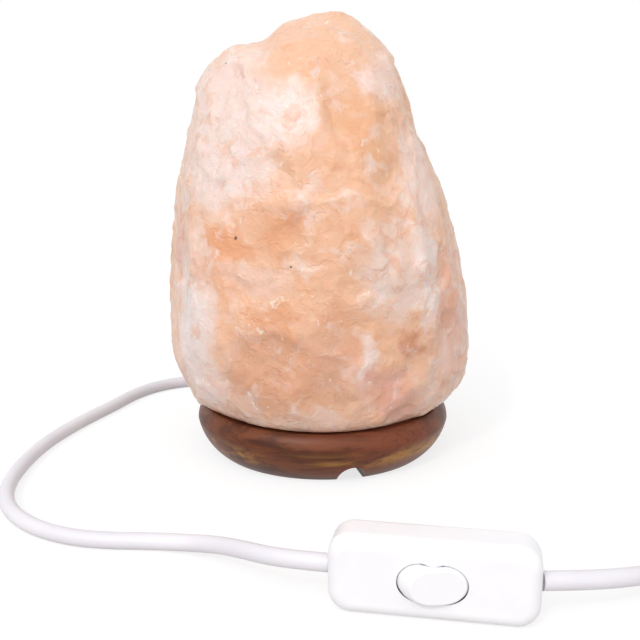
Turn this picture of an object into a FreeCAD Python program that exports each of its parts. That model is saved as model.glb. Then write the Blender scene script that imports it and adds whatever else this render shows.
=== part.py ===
import FreeCAD, Part
import math
import os

from FreeCAD import Placement, Rotation, Vector

# Salt crystal lamp, in millimetres. The origin is the centre of the wooden base's underside,
# +Z is up, -Y is the front and +X is to the right.

# Wooden base
BASE_HEIGHT = 21.0
BASE_RADIUS = 55.0  # at its widest
BASE_FOOT_RADIUS = 46.0  # flat underside
BASE_RIM_RADIUS = 51.5  # top face
BASE_WIDEST_Z = 14.0
BASE_BELLY = 1.6  # how far the lower curve stands out from its chord
BASE_SHOULDER = 0.9  # the same for the upper curve
BASE_HOLE_RADIUS = 20.0
BASE_RECESS_RADIUS = 24.5
BASE_RECESS_DEPTH = 10.0
GROOVE_WIDTH = 11.0
GROOVE_HEIGHT = 7.0
GROOVE_TURN = 13.7  # degrees that the groove is turned from the Y axis

# Salt crystal
CRYSTAL_HEIGHT = 163.0
CRYSTAL_WIDTH = 131.0
CRYSTAL_DEPTH = 120.0
CRYSTAL_ROUGHNESS = 0.035
BORE_RADIUS = 23.0
BORE_DEPTH = 98.0
BORE_ROUNDING = 9.0

# Fixing screws of the base
SCREW_COUNT = 3
SCREW_CIRCLE_RADIUS = 36.0
SCREW_RADIUS = 2.0
SCREW_LENGTH = 34.0
SCREW_HEAD_RADIUS = 4.0
SCREW_HEAD_HEIGHT = 3.0
COUNTERBORE_RADIUS = 5.5
COUNTERBORE_DEPTH = 8.0
WASHER_RADIUS = 5.0
WASHER_THICKNESS = 1.0
PLUG_RADIUS = 3.0
PLUG_LENGTH = 26.0

# Bulb holder
HOLDER_RADIUS = 13.5
HOLDER_HEIGHT = 42.0
HOLDER_WALL = 2.0
HOLDER_WEB_HEIGHT = 10.0  # from the holder's lower end to its web
HOLDER_WEB = 4.0
HOLDER_BEVEL = 1.0
SOCKET_RADIUS = 9.5
CAP_FLANGE_RADIUS = 23.0
CAP_FLANGE = 2.8
CAP_PUCK_RADIUS = 16.5
CAP_COLLAR = 6.0
CAP_WALL = 2.0
CAP_RIM = 4.0  # thickness of the wall round its cavity
CAP_FLOOR = 1.9
CAP_CLEARANCE = 0.3  # under the cap, above the table
SHELL_RADIUS = 7.3
SHELL_WALL = 0.6
SHELL_HEIGHT = 21.0
CONTACT_THICKNESS = 0.6
CONTACT_WIDTH = 1.8
CONTACT_RISE = 3.4
CONTACT_LEG_X = -5.7
CONTACT_KNEE_X = -4.0
CONTACT_CREST_X = (-1.0, 2.0)
CONTACT_END_X = 4.0
TAB_WIDTH = 1.8
TAB_THICKNESS = 1.0
SHELL_FOOT = 0.6
SLOT_WIDTH = 2.0  # through the web, for the tabs
TERMINAL_SIZE = 5.5
TERMINAL_HEIGHT = 6.0
TERMINAL_OFFSET = 6.0
SMALL_SCREW_RADIUS = 1.5
SMALL_SCREW_HEAD_RADIUS = 2.4
SMALL_SCREW_HEAD = 1.4
SMALL_SCREW_LENGTH = 5.0
CLIP_SIDES = (GROOVE_TURN, GROOVE_TURN + 180.0)
CLIP_WIDTH = 8.0
CLIP_THICKNESS = 0.6
CLIP_FOOT = 11.0  # length of the clip that lies on the holder
CLIP_TOP = 21.0  # top of the clip above the holder's lower end
CLIP_BEND = ((1.2, 1.5), (2.6, 0.6))  # out from the holder and up from there, over the top
CLIP_HOLD = 1.4  # how far the clip reaches over the base's hole
CLIP_START = 0.8  # from the hole's edge to the clip's flat end
RIVET_RADIUS = 1.2
RIVET_HEAD_RADIUS = 2.2
RIVET_HEAD = 0.8
GRIP_THICKNESS = 1.4
GRIP_WIDTH = 3.6
GRIP_X = 8.0  # from the holder's axis
GRIP_OVERHANG = 4.0  # past the lead on each side
GRIP_SCREW_RADIUS = 1.2
GRIP_SCREW_HEAD_RADIUS = 1.8
GRIP_SCREW_HEAD = 0.9
GROOVE_LEAD_END = 52.0  # from the axis, where the lead in the groove meets the loose lead
LEAD_END = 4.5  # where the lead's sheath is stripped, from the holder's axis

# Bulb
BULB_CAP_RADIUS = 6.7
BULB_THREAD_DEPTH = 0.5
BULB_THREAD_PITCH = 2.8
BULB_THREADS = 5
BULB_CAP_HEIGHT = 18.0
BULB_INSULATOR_HEIGHT = 3.0
BULB_TIP_RADIUS = 2.2
BULB_TIP_HEIGHT = 1.2
BULB_GLASS_RADIUS = 12.5
BULB_GLASS_HEIGHT = 40.0
BULB_GLASS_WALL = 0.7
BULB_NECK_RADIUS = 5.9
BULB_NECK_HEIGHT = 5.0
BULB_CAP_WALL = 1.0
BULB_SHOULDER = 0.72  # share of the swell that is reached halfway up the lower curve
STEM_RADIUS = 1.6
STEM_HEIGHT = 15.0
STEM_FOOT = 4.0  # part of it inside the cap
FILAMENT_WIRE = 0.35
FILAMENT_SPREAD = 7.0
FILAMENT_RISE = 7.0
FILAMENT_CROWN = 2.5
FILAMENT_RADIUS = 0.28

# Mains lead: a round flexible lead of two cores
LEAD_RADIUS = 2.9
CORE_RADIUS = 1.0
CORE_SPREAD = 1.3  # of each core from the lead's centre, where the sheath ends
CORE_KNEE = Vector(-2.5, 0.7, 0.5)  # from there to the bend, along, outward and up
CORE_HOLD = 2.5  # height up the terminal
LEAD_AXIS_Z = 4.0  # in the groove
LEAD_LYING_Z = 2.9  # on the table

# In-line switch, which lies on its long narrow side with its rocker to the front
SWITCH_LENGTH = 62.0
SWITCH_HEIGHT = 25.0
SWITCH_DEPTH = 15.5
SWITCH_CORNER = 7.0  # rounding seen from the front
SWITCH_EDGE = 4.0  # rounding of the front and rear edges
SWITCH_WALL = 1.7
SWITCH_X = 32.4
SWITCH_Y = -146.1
SWITCH_TURN = -10.2
ENTRY_RADIUS = 3.5
ENTRY_SLACK = 0.6  # how far inside the entry the lead is bent
ROCKER_LENGTH = 20.8  # of the opening that it fills
ROCKER_HEIGHT = 12.3
ROCKER_LOBE_OFFSET = 3.4  # from the middle to the centre of each lobe
ROCKER_GAP = 0.45
ROCKER_PIVOT_DEPTH = 4.7  # behind the front face
ROCKER_SWING = 14.5  # degrees each way
ROCKER_PROUD = 2.3  # how far its middle stands out from the shell
ROCKER_DISH_RADIUS = 70.0  # its hollow front
ROCKER_EDGE = 0.7  # rounding round the front
ROCKER_STATIONS = 12  # points along its side's curve
ROCKER_KEEL_DEPTH = 3.6  # behind the pivot
ROCKER_KEEL_WIDTH = 5.6
ROCKER_WEB = 2.2
PIN_RADIUS = 1.0
PIN_LENGTH = 18.0
PIN_PLAY = 0.05
PIN_BOSS_RADIUS = 2.2
PLUNGER_RADIUS = 1.2
PLUNGER_HOLLOW_RADIUS = 0.72
PLUNGER_PLAY = 0.05
PLUNGER_REACH = 6.0  # from the pivot to its tip
PLUNGER_LENGTH = 3.8
SPRING_WIRE = 0.2
SPRING_TURNS = 4
SEESAW_GAP = 0.3  # least gap to the plunger's tip
SEESAW_HALF_LENGTH = 7.0
SEESAW_WIDTH = 4.0
SEESAW_THICKNESS = 0.7
SEESAW_SWING = 7.0
SEESAW_PLAY = 0.15
SEESAW_STOP = 2.0  # thickness of the rib that stops its left end
BUTTON_RADIUS = 1.0
BUTTON_HEIGHT = 0.3
BUTTON_INSET = 1.2  # from the seesaw's right end to the button's centre
SWITCH_STRIP = 0.8
STRIP_WIDTH = 3.0
SUPPORT_THICKNESS = 0.8
LINE_TONGUE = 2.0  # length of the live strip's tongue under the seesaw's support
SWITCH_TERMINAL = 5.0
SWITCH_TERMINAL_X = 13.2
LIVE_Z = -5.2
NEUTRAL_Z = 5.6
TERMINAL_SCREW_RADIUS = 1.2
TERMINAL_SCREW_LENGTH = 3.2
TERMINAL_SCREW_HEAD_RADIUS = 2.04
CLAMP_X = 24.0
CLAMP_LENGTH = 3.6
CLAMP_HEIGHT = 1.8
CLAMP_SPAN = 15.0
CLAMP_SCREW_OFFSET = 5.6
CLAMP_SCREW_HEAD = 0.9
CLAMP_SCREW_HEAD_RADIUS = 1.7
CLAMP_STUB = 1.0  # how far the sheath reaches past its clamp
CORE_INSET = 1.4  # of each core from the lead's centre there
CORE_REACH = 0.9  # where it meets its terminal, as a share of the terminal's height
HOUSING_SCREW_X = 19.6
HOUSING_SCREW_Z = 8.2
HOUSING_SCREW_RADIUS = 1.1
HOUSING_SCREW_HEAD_RADIUS = 2.0
HOUSING_SCREW_HEAD = 1.2
HOUSING_SCREW_SLOT = 0.7
HOUSING_BOSS_RADIUS = 2.3

# Coil of the rest of the lead, to the right of what the picture shows
COIL_X = 157.0
COIL_Y = -130.0
COIL_RADIUS = 42.0  # outermost turn, at the lead's centre
COIL_PITCH = 6.35
COIL_TURNS = 5.1667  # in both layers together
COIL_START = 150.0  # degrees round from +X
COIL_BOTTOM = 0.7  # over the table, by the tie's thickness
TIE_ANGLE = 20.0
TIE_THICKNESS = 0.6
TIE_WIDTH = 8.0
TIE_PLAY = 0.05
TIE_OVERHANG = 2.86  # past the coil's innermost turn, which is at its widest elsewhere

# Mains plug with two round pins
PLUG_Y = -168.0  # where the strain relief joins the body
PLUG_X = 210.5
PLUG_LENGTH_ALONG = 35.0
PLUG_FACE_WIDTH = 35.0
PLUG_FACE_HEIGHT = 13.6
PLUG_WAIST_WIDTH = 24.0
PLUG_TAIL_WIDTH = 13.0
PLUG_TAIL_HEIGHT = 10.5
PLUG_CORNER = 3.0
PLUG_SECTIONS = (  # share of the length from the tail, width and height
    (0.0, PLUG_TAIL_WIDTH, PLUG_TAIL_HEIGHT),
    (0.30, PLUG_WAIST_WIDTH * 0.90, PLUG_FACE_HEIGHT - 1.4),
    (0.62, PLUG_WAIST_WIDTH, PLUG_FACE_HEIGHT - 1.0),
    (0.86, PLUG_FACE_WIDTH, PLUG_FACE_HEIGHT),
    (1.0, PLUG_FACE_WIDTH, PLUG_FACE_HEIGHT),
)
RELIEF_LENGTH = 22.0
RELIEF_ROOT_RADIUS = 4.8
RELIEF_END_RADIUS = 3.7
RELIEF_RIBS = 5
RELIEF_SLOT = 1.4
RELIEF_SPINE = 1.2  # half the thickness left between the slots of each pair
RELIEF_FIRST = 0.8  # place of the first slots, in spaces from the root
PIN_PITCH = 18.6
PIN_TIP_PITCH = 17.5
MAINS_PIN_RADIUS = 2.0
MAINS_PIN_LENGTH = 19.0
PIN_ROOT = 9.0  # length moulded into the plug
PIN_TIP_ROUNDING = 1.2
PIN_SLEEVE_RADIUS = 1.7
PIN_SLEEVE_WALL = 0.5
PIN_SLEEVE_LENGTH = 10.0

# Routes of the lead where it lies loose, as the corners that it is bent round. The first and last
# point of each come from what it joins.
ROUTE_TO_SWITCH = (
    (-15.7, 64.6, 3.7),
    (-24.4, 77.0, 3.1),
    (-38.0, 85.2, 2.9),
    (-55.0, 87.0, 2.9),
    (-72.3, 84.2, 2.9),
    (-86.6, 75.4, 2.9),
    (-96.2, 61.0, 2.9),
    (-102.0, 44.0, 2.9),
    (-109.4, 26.5, 2.9),
    (-116.0, 8.5, 2.9),
    (-121.3, -11.0, 2.9),
    (-123.6, -32.0, 2.9),
    (-123.3, -53.0, 2.9),
    (-119.9, -70.0, 2.9),
    (-112.6, -84.3, 2.9),
    (-101.3, -95.9, 2.9),
    (-87.5, -103.4, 2.9),
    (-73.5, -106.2, 2.9),
    (-59.5, -106.5, 2.9),
    (-46.0, -108.9, 3.5),
    (-34.6, -115.9, 6.2),
    (-25.2, -127.3, 10.1),
)
LAST_RUN_TO_SWITCH = 15.4
ROUTE_FROM_SWITCH = (
    (75.4, -149.9, 11.7),
    (88.6, -145.2, 10.0),
    (100.0, -138.2, 7.6),
    (109.2, -128.4, 5.0),
)
LAST_RUN_TO_COIL = 8.0
FIRST_RUN_FROM_COIL = 11.0
ROUTE_FROM_COIL = (
    (187.6, -90.3, 7.6),
    (199.6, -98.0, 4.9),
    (207.5, -110.2, 3.6),
    (210.4, -123.6, 4.6),
)
LAST_RUN_TO_PLUG = 10.0

# Salt crystal's form: the height of each section, then how far it reaches to the left, right,
# front and back, as shares of the whole height and of half the width and depth.
CRYSTAL_SECTIONS = (
    (0.000, 0.77, 0.75, 0.79, 0.80),
    (0.035, 0.88, 0.88, 0.90, 0.91),
    (0.110, 0.97, 0.955, 0.97, 0.98),
    (0.210, 1.010, 0.955, 1.00, 1.00),
    (0.350, 1.015, 0.920, 0.99, 0.97),
    (0.500, 0.965, 0.825, 0.94, 0.90),
    (0.680, 0.870, 0.635, 0.81, 0.77),
    (0.800, 0.795, 0.525, 0.68, 0.64),
    (0.890, 0.655, 0.430, 0.52, 0.47),
    (0.950, 0.390, 0.285, 0.33, 0.30),
    (0.987, 0.180, 0.160, 0.15, 0.14),
    (1.000, 0.050, 0.050, 0.05, 0.05),
)
CRYSTAL_CORNERS = 14  # points round each section
# Hewn faces: the way each looks (degrees round from +X, degrees up), and its distance, as a share
# of half the crystal's width, from the point on the axis at the given share of the height.
HEWN_FACES = (
    (-14.0, 13.0, 0.50, 0.779),
    (-62.0, 9.0, 0.30, 0.924),
    (-104.0, 5.0, 0.28, 0.875),
    (-128.0, 24.0, 0.72, 0.695),
    (-72.0, 30.0, 0.80, 0.496),
    (-160.0, 4.0, 0.25, 0.951),
    (166.0, 10.0, 0.55, 0.916),
    (118.0, 12.0, 0.45, 0.802),
    (62.0, 16.0, 0.50, 0.733),
    (24.0, 22.0, 0.72, 0.580),
)


def revolved(outline, first=None):
    """Closed outline of (radius, height) points, as lines or three-point arcs, turned about Z."""
    edges = []
    here = outline[0]
    for step in outline[1:] + (outline[0],):
        start = Vector(here[0], 0, here[1])
        if len(step) == 4:
            middle = Vector(step[0], 0, step[1])
            end = Vector(step[2], 0, step[3])
            edges.append(Part.Arc(start, middle, end).toShape())
            here = step[2:]
        elif step != here:
            edges.append(Part.LineSegment(start, Vector(step[0], 0, step[1])).toShape())
            here = step
    face = Part.Face(Part.Wire(edges))
    return face.revolve(Vector(0, 0, 0), Vector(0, 0, 1), 360)


def upright(radius, low, high, x=0.0, y=0.0):
    return Part.makeCylinder(radius, high - low, Vector(x, y, low))


def rod(start, end, radius):
    return Part.makeCylinder(radius, start.distanceToPoint(end), start, end - start)


def block(low, high):
    size = high - low
    return Part.makeBox(size.x, size.y, size.z, low)


def at_angle(radius, degrees, z=0.0):
    angle = math.radians(degrees)
    return Vector(radius * math.cos(angle), radius * math.sin(angle), z)


def turned(shape, degrees):
    copy = shape.copy()
    copy.rotate(Vector(0, 0, 0), Vector(0, 0, 1), degrees)
    return copy


def strip(points, thickness, width):
    """A bent strip of sheet metal: points in the XZ plane, thickness to the left, width along Y."""
    flat = [Vector(x, 0, z) for x, z in points]
    normals = []
    for a, b in zip(flat, flat[1:]):
        along = (b - a).normalize()
        normals.append(Vector(-along.z, 0, along.x))
    shifted = []
    for i, point in enumerate(flat):
        before = normals[max(i - 1, 0)]
        after = normals[min(i, len(normals) - 1)]
        shifted.append(point + (before + after) * (thickness / (1 + before.dot(after))))
    outline = Part.makePolygon(flat + shifted[::-1] + [flat[0]])
    outline.translate(Vector(0, -width / 2, 0))
    return Part.Face(outline).extrude(Vector(0, width, 0))


def arc_between(start, corner, end):
    """Arc that is tangent to start-corner at start and to corner-end at end; both are as long."""
    reach = start.distanceToPoint(corner)
    to_start = (start - corner).normalize()
    to_end = (end - corner).normalize()
    half = to_start.getAngle(to_end) / 2
    radius = reach * math.tan(half)
    inward = (to_start + to_end).normalize()
    middle = corner + inward * (reach / math.cos(half) - radius)
    return Part.Arc(start, middle, end).toShape(), radius


def export(name, shape):
    if not shape.isValid():
        print("not valid:", name)
    shape.exportStep("parts/" + name + ".step")
    return shape


groove_azimuth = 90.0 + GROOVE_TURN  # towards the back, where the lead leaves


def way(azimuth, up):
    """Turn that brings +X to a direction, in degrees round from +X and degrees up."""
    return Rotation(Vector(0, 0, 1), azimuth).multiply(Rotation(Vector(0, 1, 0), -up))


def waste_beyond(middle, facing, distance):
    """What a flat face takes away: all that is further than a distance from a point, one way."""
    reach = CRYSTAL_WIDTH + CRYSTAL_HEIGHT
    waste = block(Vector(distance, -reach, -reach), Vector(distance + reach, reach, reach))
    return waste.transformed(Placement(middle, facing).toMatrix())


def make_crystal():
    bottom = BASE_HEIGHT
    sections = []
    for share, left, right, front, back in CRYSTAL_SECTIONS:
        points = []
        for corner in range(CRYSTAL_CORNERS):
            angle = 2 * math.pi * corner / CRYSTAL_CORNERS
            across = math.cos(angle)
            along = math.sin(angle)
            swell = 1 + CRYSTAL_ROUGHNESS * math.sin(3 * angle + 9 * share) * along * along
            half_x = (right if across > 0 else left) * CRYSTAL_WIDTH / 2
            half_y = (back if along > 0 else front) * CRYSTAL_DEPTH / 2
            points.append(Vector(half_x * across * swell, half_y * along * swell,
                                 bottom + share * CRYSTAL_HEIGHT))
        curve = Part.BSplineCurve()
        curve.interpolate(points, PeriodicFlag=True)
        sections.append(Part.Wire(curve.toShape()))
    crystal = Part.makeLoft(sections, True, False)
    for azimuth, up, share, distance in HEWN_FACES:
        middle = Vector(0, 0, bottom + share * CRYSTAL_HEIGHT)
        crystal = crystal.cut(waste_beyond(middle, way(azimuth, up), distance * CRYSTAL_WIDTH / 2))
    half_round = BORE_ROUNDING * (1 - math.sqrt(0.5))
    bore = revolved((
        (0, bottom - 1), (BORE_RADIUS, bottom - 1), (BORE_RADIUS, bottom + BORE_DEPTH - BORE_ROUNDING),
        (BORE_RADIUS - half_round, bottom + BORE_DEPTH - half_round,
         BORE_RADIUS - BORE_ROUNDING, bottom + BORE_DEPTH),
        (0, bottom + BORE_DEPTH)))
    crystal = crystal.cut(bore)
    for place in screw_places():
        crystal = crystal.cut(upright(PLUG_RADIUS, bottom - 1, bottom + PLUG_LENGTH + 1, place.x, place.y))
    return crystal


def screw_places():
    step = 360.0 / SCREW_COUNT
    return [at_angle(SCREW_CIRCLE_RADIUS, groove_azimuth + step * (k + 0.25)) for k in range(SCREW_COUNT)]


def make_base():
    lower = math.hypot(BASE_RADIUS - BASE_FOOT_RADIUS, BASE_WIDEST_Z)
    upper = math.hypot(BASE_RADIUS - BASE_RIM_RADIUS, BASE_HEIGHT - BASE_WIDEST_Z)
    base = revolved((
        (BASE_RECESS_RADIUS, 0),
        (BASE_FOOT_RADIUS, 0),
        ((BASE_FOOT_RADIUS + BASE_RADIUS) / 2 + BASE_BELLY * BASE_WIDEST_Z / lower,
         BASE_WIDEST_Z / 2 - BASE_BELLY * (BASE_RADIUS - BASE_FOOT_RADIUS) / lower,
         BASE_RADIUS, BASE_WIDEST_Z),
        ((BASE_RIM_RADIUS + BASE_RADIUS) / 2 + BASE_SHOULDER * (BASE_HEIGHT - BASE_WIDEST_Z) / upper,
         (BASE_WIDEST_Z + BASE_HEIGHT) / 2 + BASE_SHOULDER * (BASE_RADIUS - BASE_RIM_RADIUS) / upper,
         BASE_RIM_RADIUS, BASE_HEIGHT),
        (BASE_HOLE_RADIUS, BASE_HEIGHT),
        (BASE_HOLE_RADIUS, BASE_RECESS_DEPTH),
        (BASE_RECESS_RADIUS, BASE_RECESS_DEPTH)))
    half = GROOVE_WIDTH / 2
    crown = GROOVE_HEIGHT - half
    groove = block(Vector(-2 * BASE_RADIUS, -half, -1), Vector(2 * BASE_RADIUS, half, crown))
    groove = groove.fuse(rod(Vector(-2 * BASE_RADIUS, 0, crown), Vector(2 * BASE_RADIUS, 0, crown), half))
    base = base.cut(turned(groove, groove_azimuth))
    for place in screw_places():
        base = base.cut(upright(COUNTERBORE_RADIUS, -1, COUNTERBORE_DEPTH, place.x, place.y))
        base = base.cut(upright(SCREW_RADIUS, 0, BASE_HEIGHT + 1, place.x, place.y))
    return base


def make_screws():
    """Pan-head screws, washers and wall plugs, one of each at every place."""
    seat = COUNTERBORE_DEPTH - WASHER_THICKNESS
    screws = []
    washers = []
    plugs = []
    for place in screw_places():
        head = upright(SCREW_HEAD_RADIUS, seat - SCREW_HEAD_HEIGHT, seat, place.x, place.y)
        rim = [edge for edge in head.Edges if abs(edge.BoundBox.ZMax - seat + SCREW_HEAD_HEIGHT) < 0.01]
        head = head.makeFillet(SCREW_HEAD_HEIGHT * 0.4, rim)
        shank = upright(SCREW_RADIUS, seat, seat + SCREW_LENGTH, place.x, place.y)
        screws.append(head.fuse(shank).removeSplitter())
        washer = upright(WASHER_RADIUS, seat, COUNTERBORE_DEPTH, place.x, place.y)
        washers.append(washer.cut(upright(SCREW_RADIUS, seat, COUNTERBORE_DEPTH, place.x, place.y)))
        plug = upright(PLUG_RADIUS, BASE_HEIGHT, BASE_HEIGHT + PLUG_LENGTH, place.x, place.y)
        plugs.append(plug.cut(upright(SCREW_RADIUS, 0, seat + SCREW_LENGTH, place.x, place.y)))
    export("base_screws", Part.makeCompound(screws))
    export("screw_washers", Part.makeCompound(washers))
    export("wall_plugs", Part.makeCompound(plugs))


holder_bottom = BASE_RECESS_DEPTH
web_bottom = holder_bottom + HOLDER_WEB_HEIGHT
web_top = web_bottom + HOLDER_WEB


def make_holder():
    inner = HOLDER_RADIUS - HOLDER_WALL
    holder = revolved((
        (inner, holder_bottom), (HOLDER_RADIUS, holder_bottom),
        (HOLDER_RADIUS, holder_bottom + HOLDER_HEIGHT - HOLDER_BEVEL),
        (HOLDER_RADIUS - HOLDER_BEVEL, holder_bottom + HOLDER_HEIGHT),
        (SOCKET_RADIUS, holder_bottom + HOLDER_HEIGHT),
        (SOCKET_RADIUS, web_top), (0, web_top), (0, web_bottom), (inner, web_bottom)))
    slot_half = SLOT_WIDTH / 2
    contact_slot = block(Vector(-TERMINAL_OFFSET - slot_half, -slot_half, web_bottom - 1),
                         Vector(-TERMINAL_OFFSET + slot_half, slot_half, web_top + 1))
    side_slot = contact_slot.mirror(Vector(0, 0, 0), Vector(1, 0, 0))
    holder = turned(holder.cut(contact_slot).cut(side_slot), groove_azimuth)
    for side in CLIP_SIDES:
        holder = holder.cut(turned(clip_rivet(), side))
    export("holder_body", holder)

    low = CAP_CLEARANCE
    cavity = CAP_PUCK_RADIUS - CAP_RIM
    collar_radius = HOLDER_RADIUS + CAP_WALL
    cap = revolved((
        (0, low), (CAP_PUCK_RADIUS, low), (CAP_PUCK_RADIUS, holder_bottom - CAP_FLANGE),
        (CAP_FLANGE_RADIUS, holder_bottom - CAP_FLANGE), (CAP_FLANGE_RADIUS, holder_bottom),
        (collar_radius, holder_bottom), (collar_radius, holder_bottom + CAP_COLLAR),
        (HOLDER_RADIUS, holder_bottom + CAP_COLLAR), (HOLDER_RADIUS, holder_bottom),
        (cavity, holder_bottom), (cavity, low + CAP_FLOOR), (0, low + CAP_FLOOR)))
    passage = rod(Vector(LEAD_END, 0, LEAD_AXIS_Z), Vector(BASE_RADIUS, 0, LEAD_AXIS_Z), LEAD_RADIUS)
    export("holder_cap", turned(cap.cut(passage), groove_azimuth))

    shell = upright(SHELL_RADIUS + SHELL_WALL, web_top, web_top + SHELL_HEIGHT)
    shell = shell.cut(upright(SHELL_RADIUS, web_top, web_top + SHELL_HEIGHT))
    tab_half = Vector(TAB_THICKNESS / 2, TAB_WIDTH / 2, 0)
    tab_root = Vector(TERMINAL_OFFSET, 0, web_bottom)
    tab_top = Vector(TERMINAL_OFFSET, 0, web_top + SHELL_FOOT)
    tab = block(tab_root - tab_half, tab_top + tab_half)
    foot = block(Vector(TERMINAL_OFFSET - TAB_THICKNESS / 2, -TAB_WIDTH / 2, web_top),
                 Vector(SHELL_RADIUS + SHELL_WALL / 2, TAB_WIDTH / 2, web_top + SHELL_FOOT))
    export("threaded_shell", turned(shell.fuse(tab).fuse(foot).removeSplitter(), groove_azimuth))

    contact = strip((
        (CONTACT_LEG_X, web_bottom), (CONTACT_LEG_X, web_top + CONTACT_THICKNESS),
        (CONTACT_KNEE_X, web_top + CONTACT_THICKNESS * 2),
        (CONTACT_CREST_X[0], web_top + CONTACT_RISE - CONTACT_THICKNESS),
        (CONTACT_CREST_X[1], web_top + CONTACT_RISE - CONTACT_THICKNESS),
        (CONTACT_END_X, web_top + CONTACT_RISE / 2)),
        CONTACT_THICKNESS, CONTACT_WIDTH)
    export("centre_contact", turned(contact, groove_azimuth))

    terminals = []
    screws = []
    cores = []
    terminal_bottom = web_bottom - TERMINAL_HEIGHT
    half = TERMINAL_SIZE / 2
    for side in (-1, 1):
        x = side * TERMINAL_OFFSET
        terminal = block(Vector(x - half, -half, terminal_bottom), Vector(x + half, half, web_bottom))
        hole = upright(SMALL_SCREW_RADIUS, terminal_bottom, terminal_bottom + SMALL_SCREW_LENGTH, x)
        terminals.append(terminal.cut(hole))
        screw = hole.fuse(upright(SMALL_SCREW_HEAD_RADIUS, terminal_bottom - SMALL_SCREW_HEAD,
                                  terminal_bottom, x))
        screws.append(screw)
        root = Vector(LEAD_END, side * CORE_SPREAD, LEAD_AXIS_Z)
        knee = root + Vector(CORE_KNEE.x, side * CORE_KNEE.y, CORE_KNEE.z)
        top = Vector(x, side * (half + CORE_RADIUS), terminal_bottom + CORE_HOLD)
        cores.append(rod(root, knee, CORE_RADIUS).fuse(Part.makeSphere(CORE_RADIUS, knee))
                     .fuse(rod(knee, top, CORE_RADIUS)))
    export("holder_terminals", turned(Part.makeCompound(terminals), groove_azimuth))
    export("holder_terminal_screws", turned(Part.makeCompound(screws), groove_azimuth))
    export("holder_cores", turned(Part.makeCompound(cores), groove_azimuth))

    grip_bottom = LEAD_AXIS_Z + LEAD_RADIUS
    grip_top = grip_bottom + GRIP_THICKNESS
    grip_half = LEAD_RADIUS + GRIP_OVERHANG
    grip = block(Vector(GRIP_X - GRIP_WIDTH / 2, -grip_half, grip_bottom),
                 Vector(GRIP_X + GRIP_WIDTH / 2, grip_half, grip_top))
    posts = []
    for side in (-1, 1):
        y = side * (LEAD_RADIUS + GRIP_OVERHANG / 2)
        shank = upright(GRIP_SCREW_RADIUS, low + CAP_FLOOR, grip_top, GRIP_X, y)
        grip = grip.cut(shank)
        head = upright(GRIP_SCREW_HEAD_RADIUS, grip_top, grip_top + GRIP_SCREW_HEAD, GRIP_X, y)
        posts.append(shank.fuse(head))
    export("cord_grip", turned(grip, groove_azimuth))
    export("grip_screws", turned(Part.makeCompound(posts), groove_azimuth))

    lead = rod(Vector(LEAD_END, 0, LEAD_AXIS_Z), Vector(GROOVE_LEAD_END, 0, LEAD_AXIS_Z), LEAD_RADIUS)
    export("lead_in_groove", turned(lead, groove_azimuth))


def clip_rivet():
    rivet_z = holder_bottom + CLIP_TOP - CLIP_FOOT / 2
    inner = Vector(HOLDER_RADIUS - HOLDER_WALL, 0, rivet_z)
    seat = Vector(HOLDER_RADIUS + CLIP_THICKNESS, 0, rivet_z)
    end = seat + Vector(RIVET_HEAD, 0, 0)
    return rod(inner, end, RIVET_RADIUS).fuse(rod(seat, end, RIVET_HEAD_RADIUS)).removeSplitter()


def make_clips():
    """Two spring clips that spread over the base's hole inside the crystal and hold the holder up."""
    root = holder_bottom + CLIP_TOP
    tip_end = BASE_HOLE_RADIUS + CLIP_START + CLIP_HOLD
    tip_top = BASE_HEIGHT + CLIP_THICKNESS
    clip = strip((
        (HOLDER_RADIUS, root - CLIP_FOOT), (HOLDER_RADIUS, root),
        (HOLDER_RADIUS + CLIP_BEND[0][0], root + CLIP_BEND[0][1]),
        (HOLDER_RADIUS + CLIP_BEND[1][0], root + CLIP_BEND[1][1]),
        (tip_end - CLIP_THICKNESS, tip_top + CLIP_THICKNESS * 0.65), (tip_end, tip_top)),
        -CLIP_THICKNESS, CLIP_WIDTH)
    tip = block(Vector(tip_end - CLIP_HOLD, -CLIP_WIDTH / 2, BASE_HEIGHT),
                Vector(tip_end, CLIP_WIDTH / 2, tip_top))
    clip = clip.fuse(tip)
    clip = clip.cut(clip_rivet())
    export("spring_clips", Part.makeCompound([turned(clip, side) for side in CLIP_SIDES]))
    export("clip_rivets", Part.makeCompound([turned(clip_rivet(), side) for side in CLIP_SIDES]))


tip_z = web_top + CONTACT_RISE
insulator_z = tip_z + BULB_TIP_HEIGHT
cap_z = insulator_z + BULB_INSULATOR_HEIGHT
glass_z = cap_z + BULB_CAP_HEIGHT - BULB_NECK_HEIGHT


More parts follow.
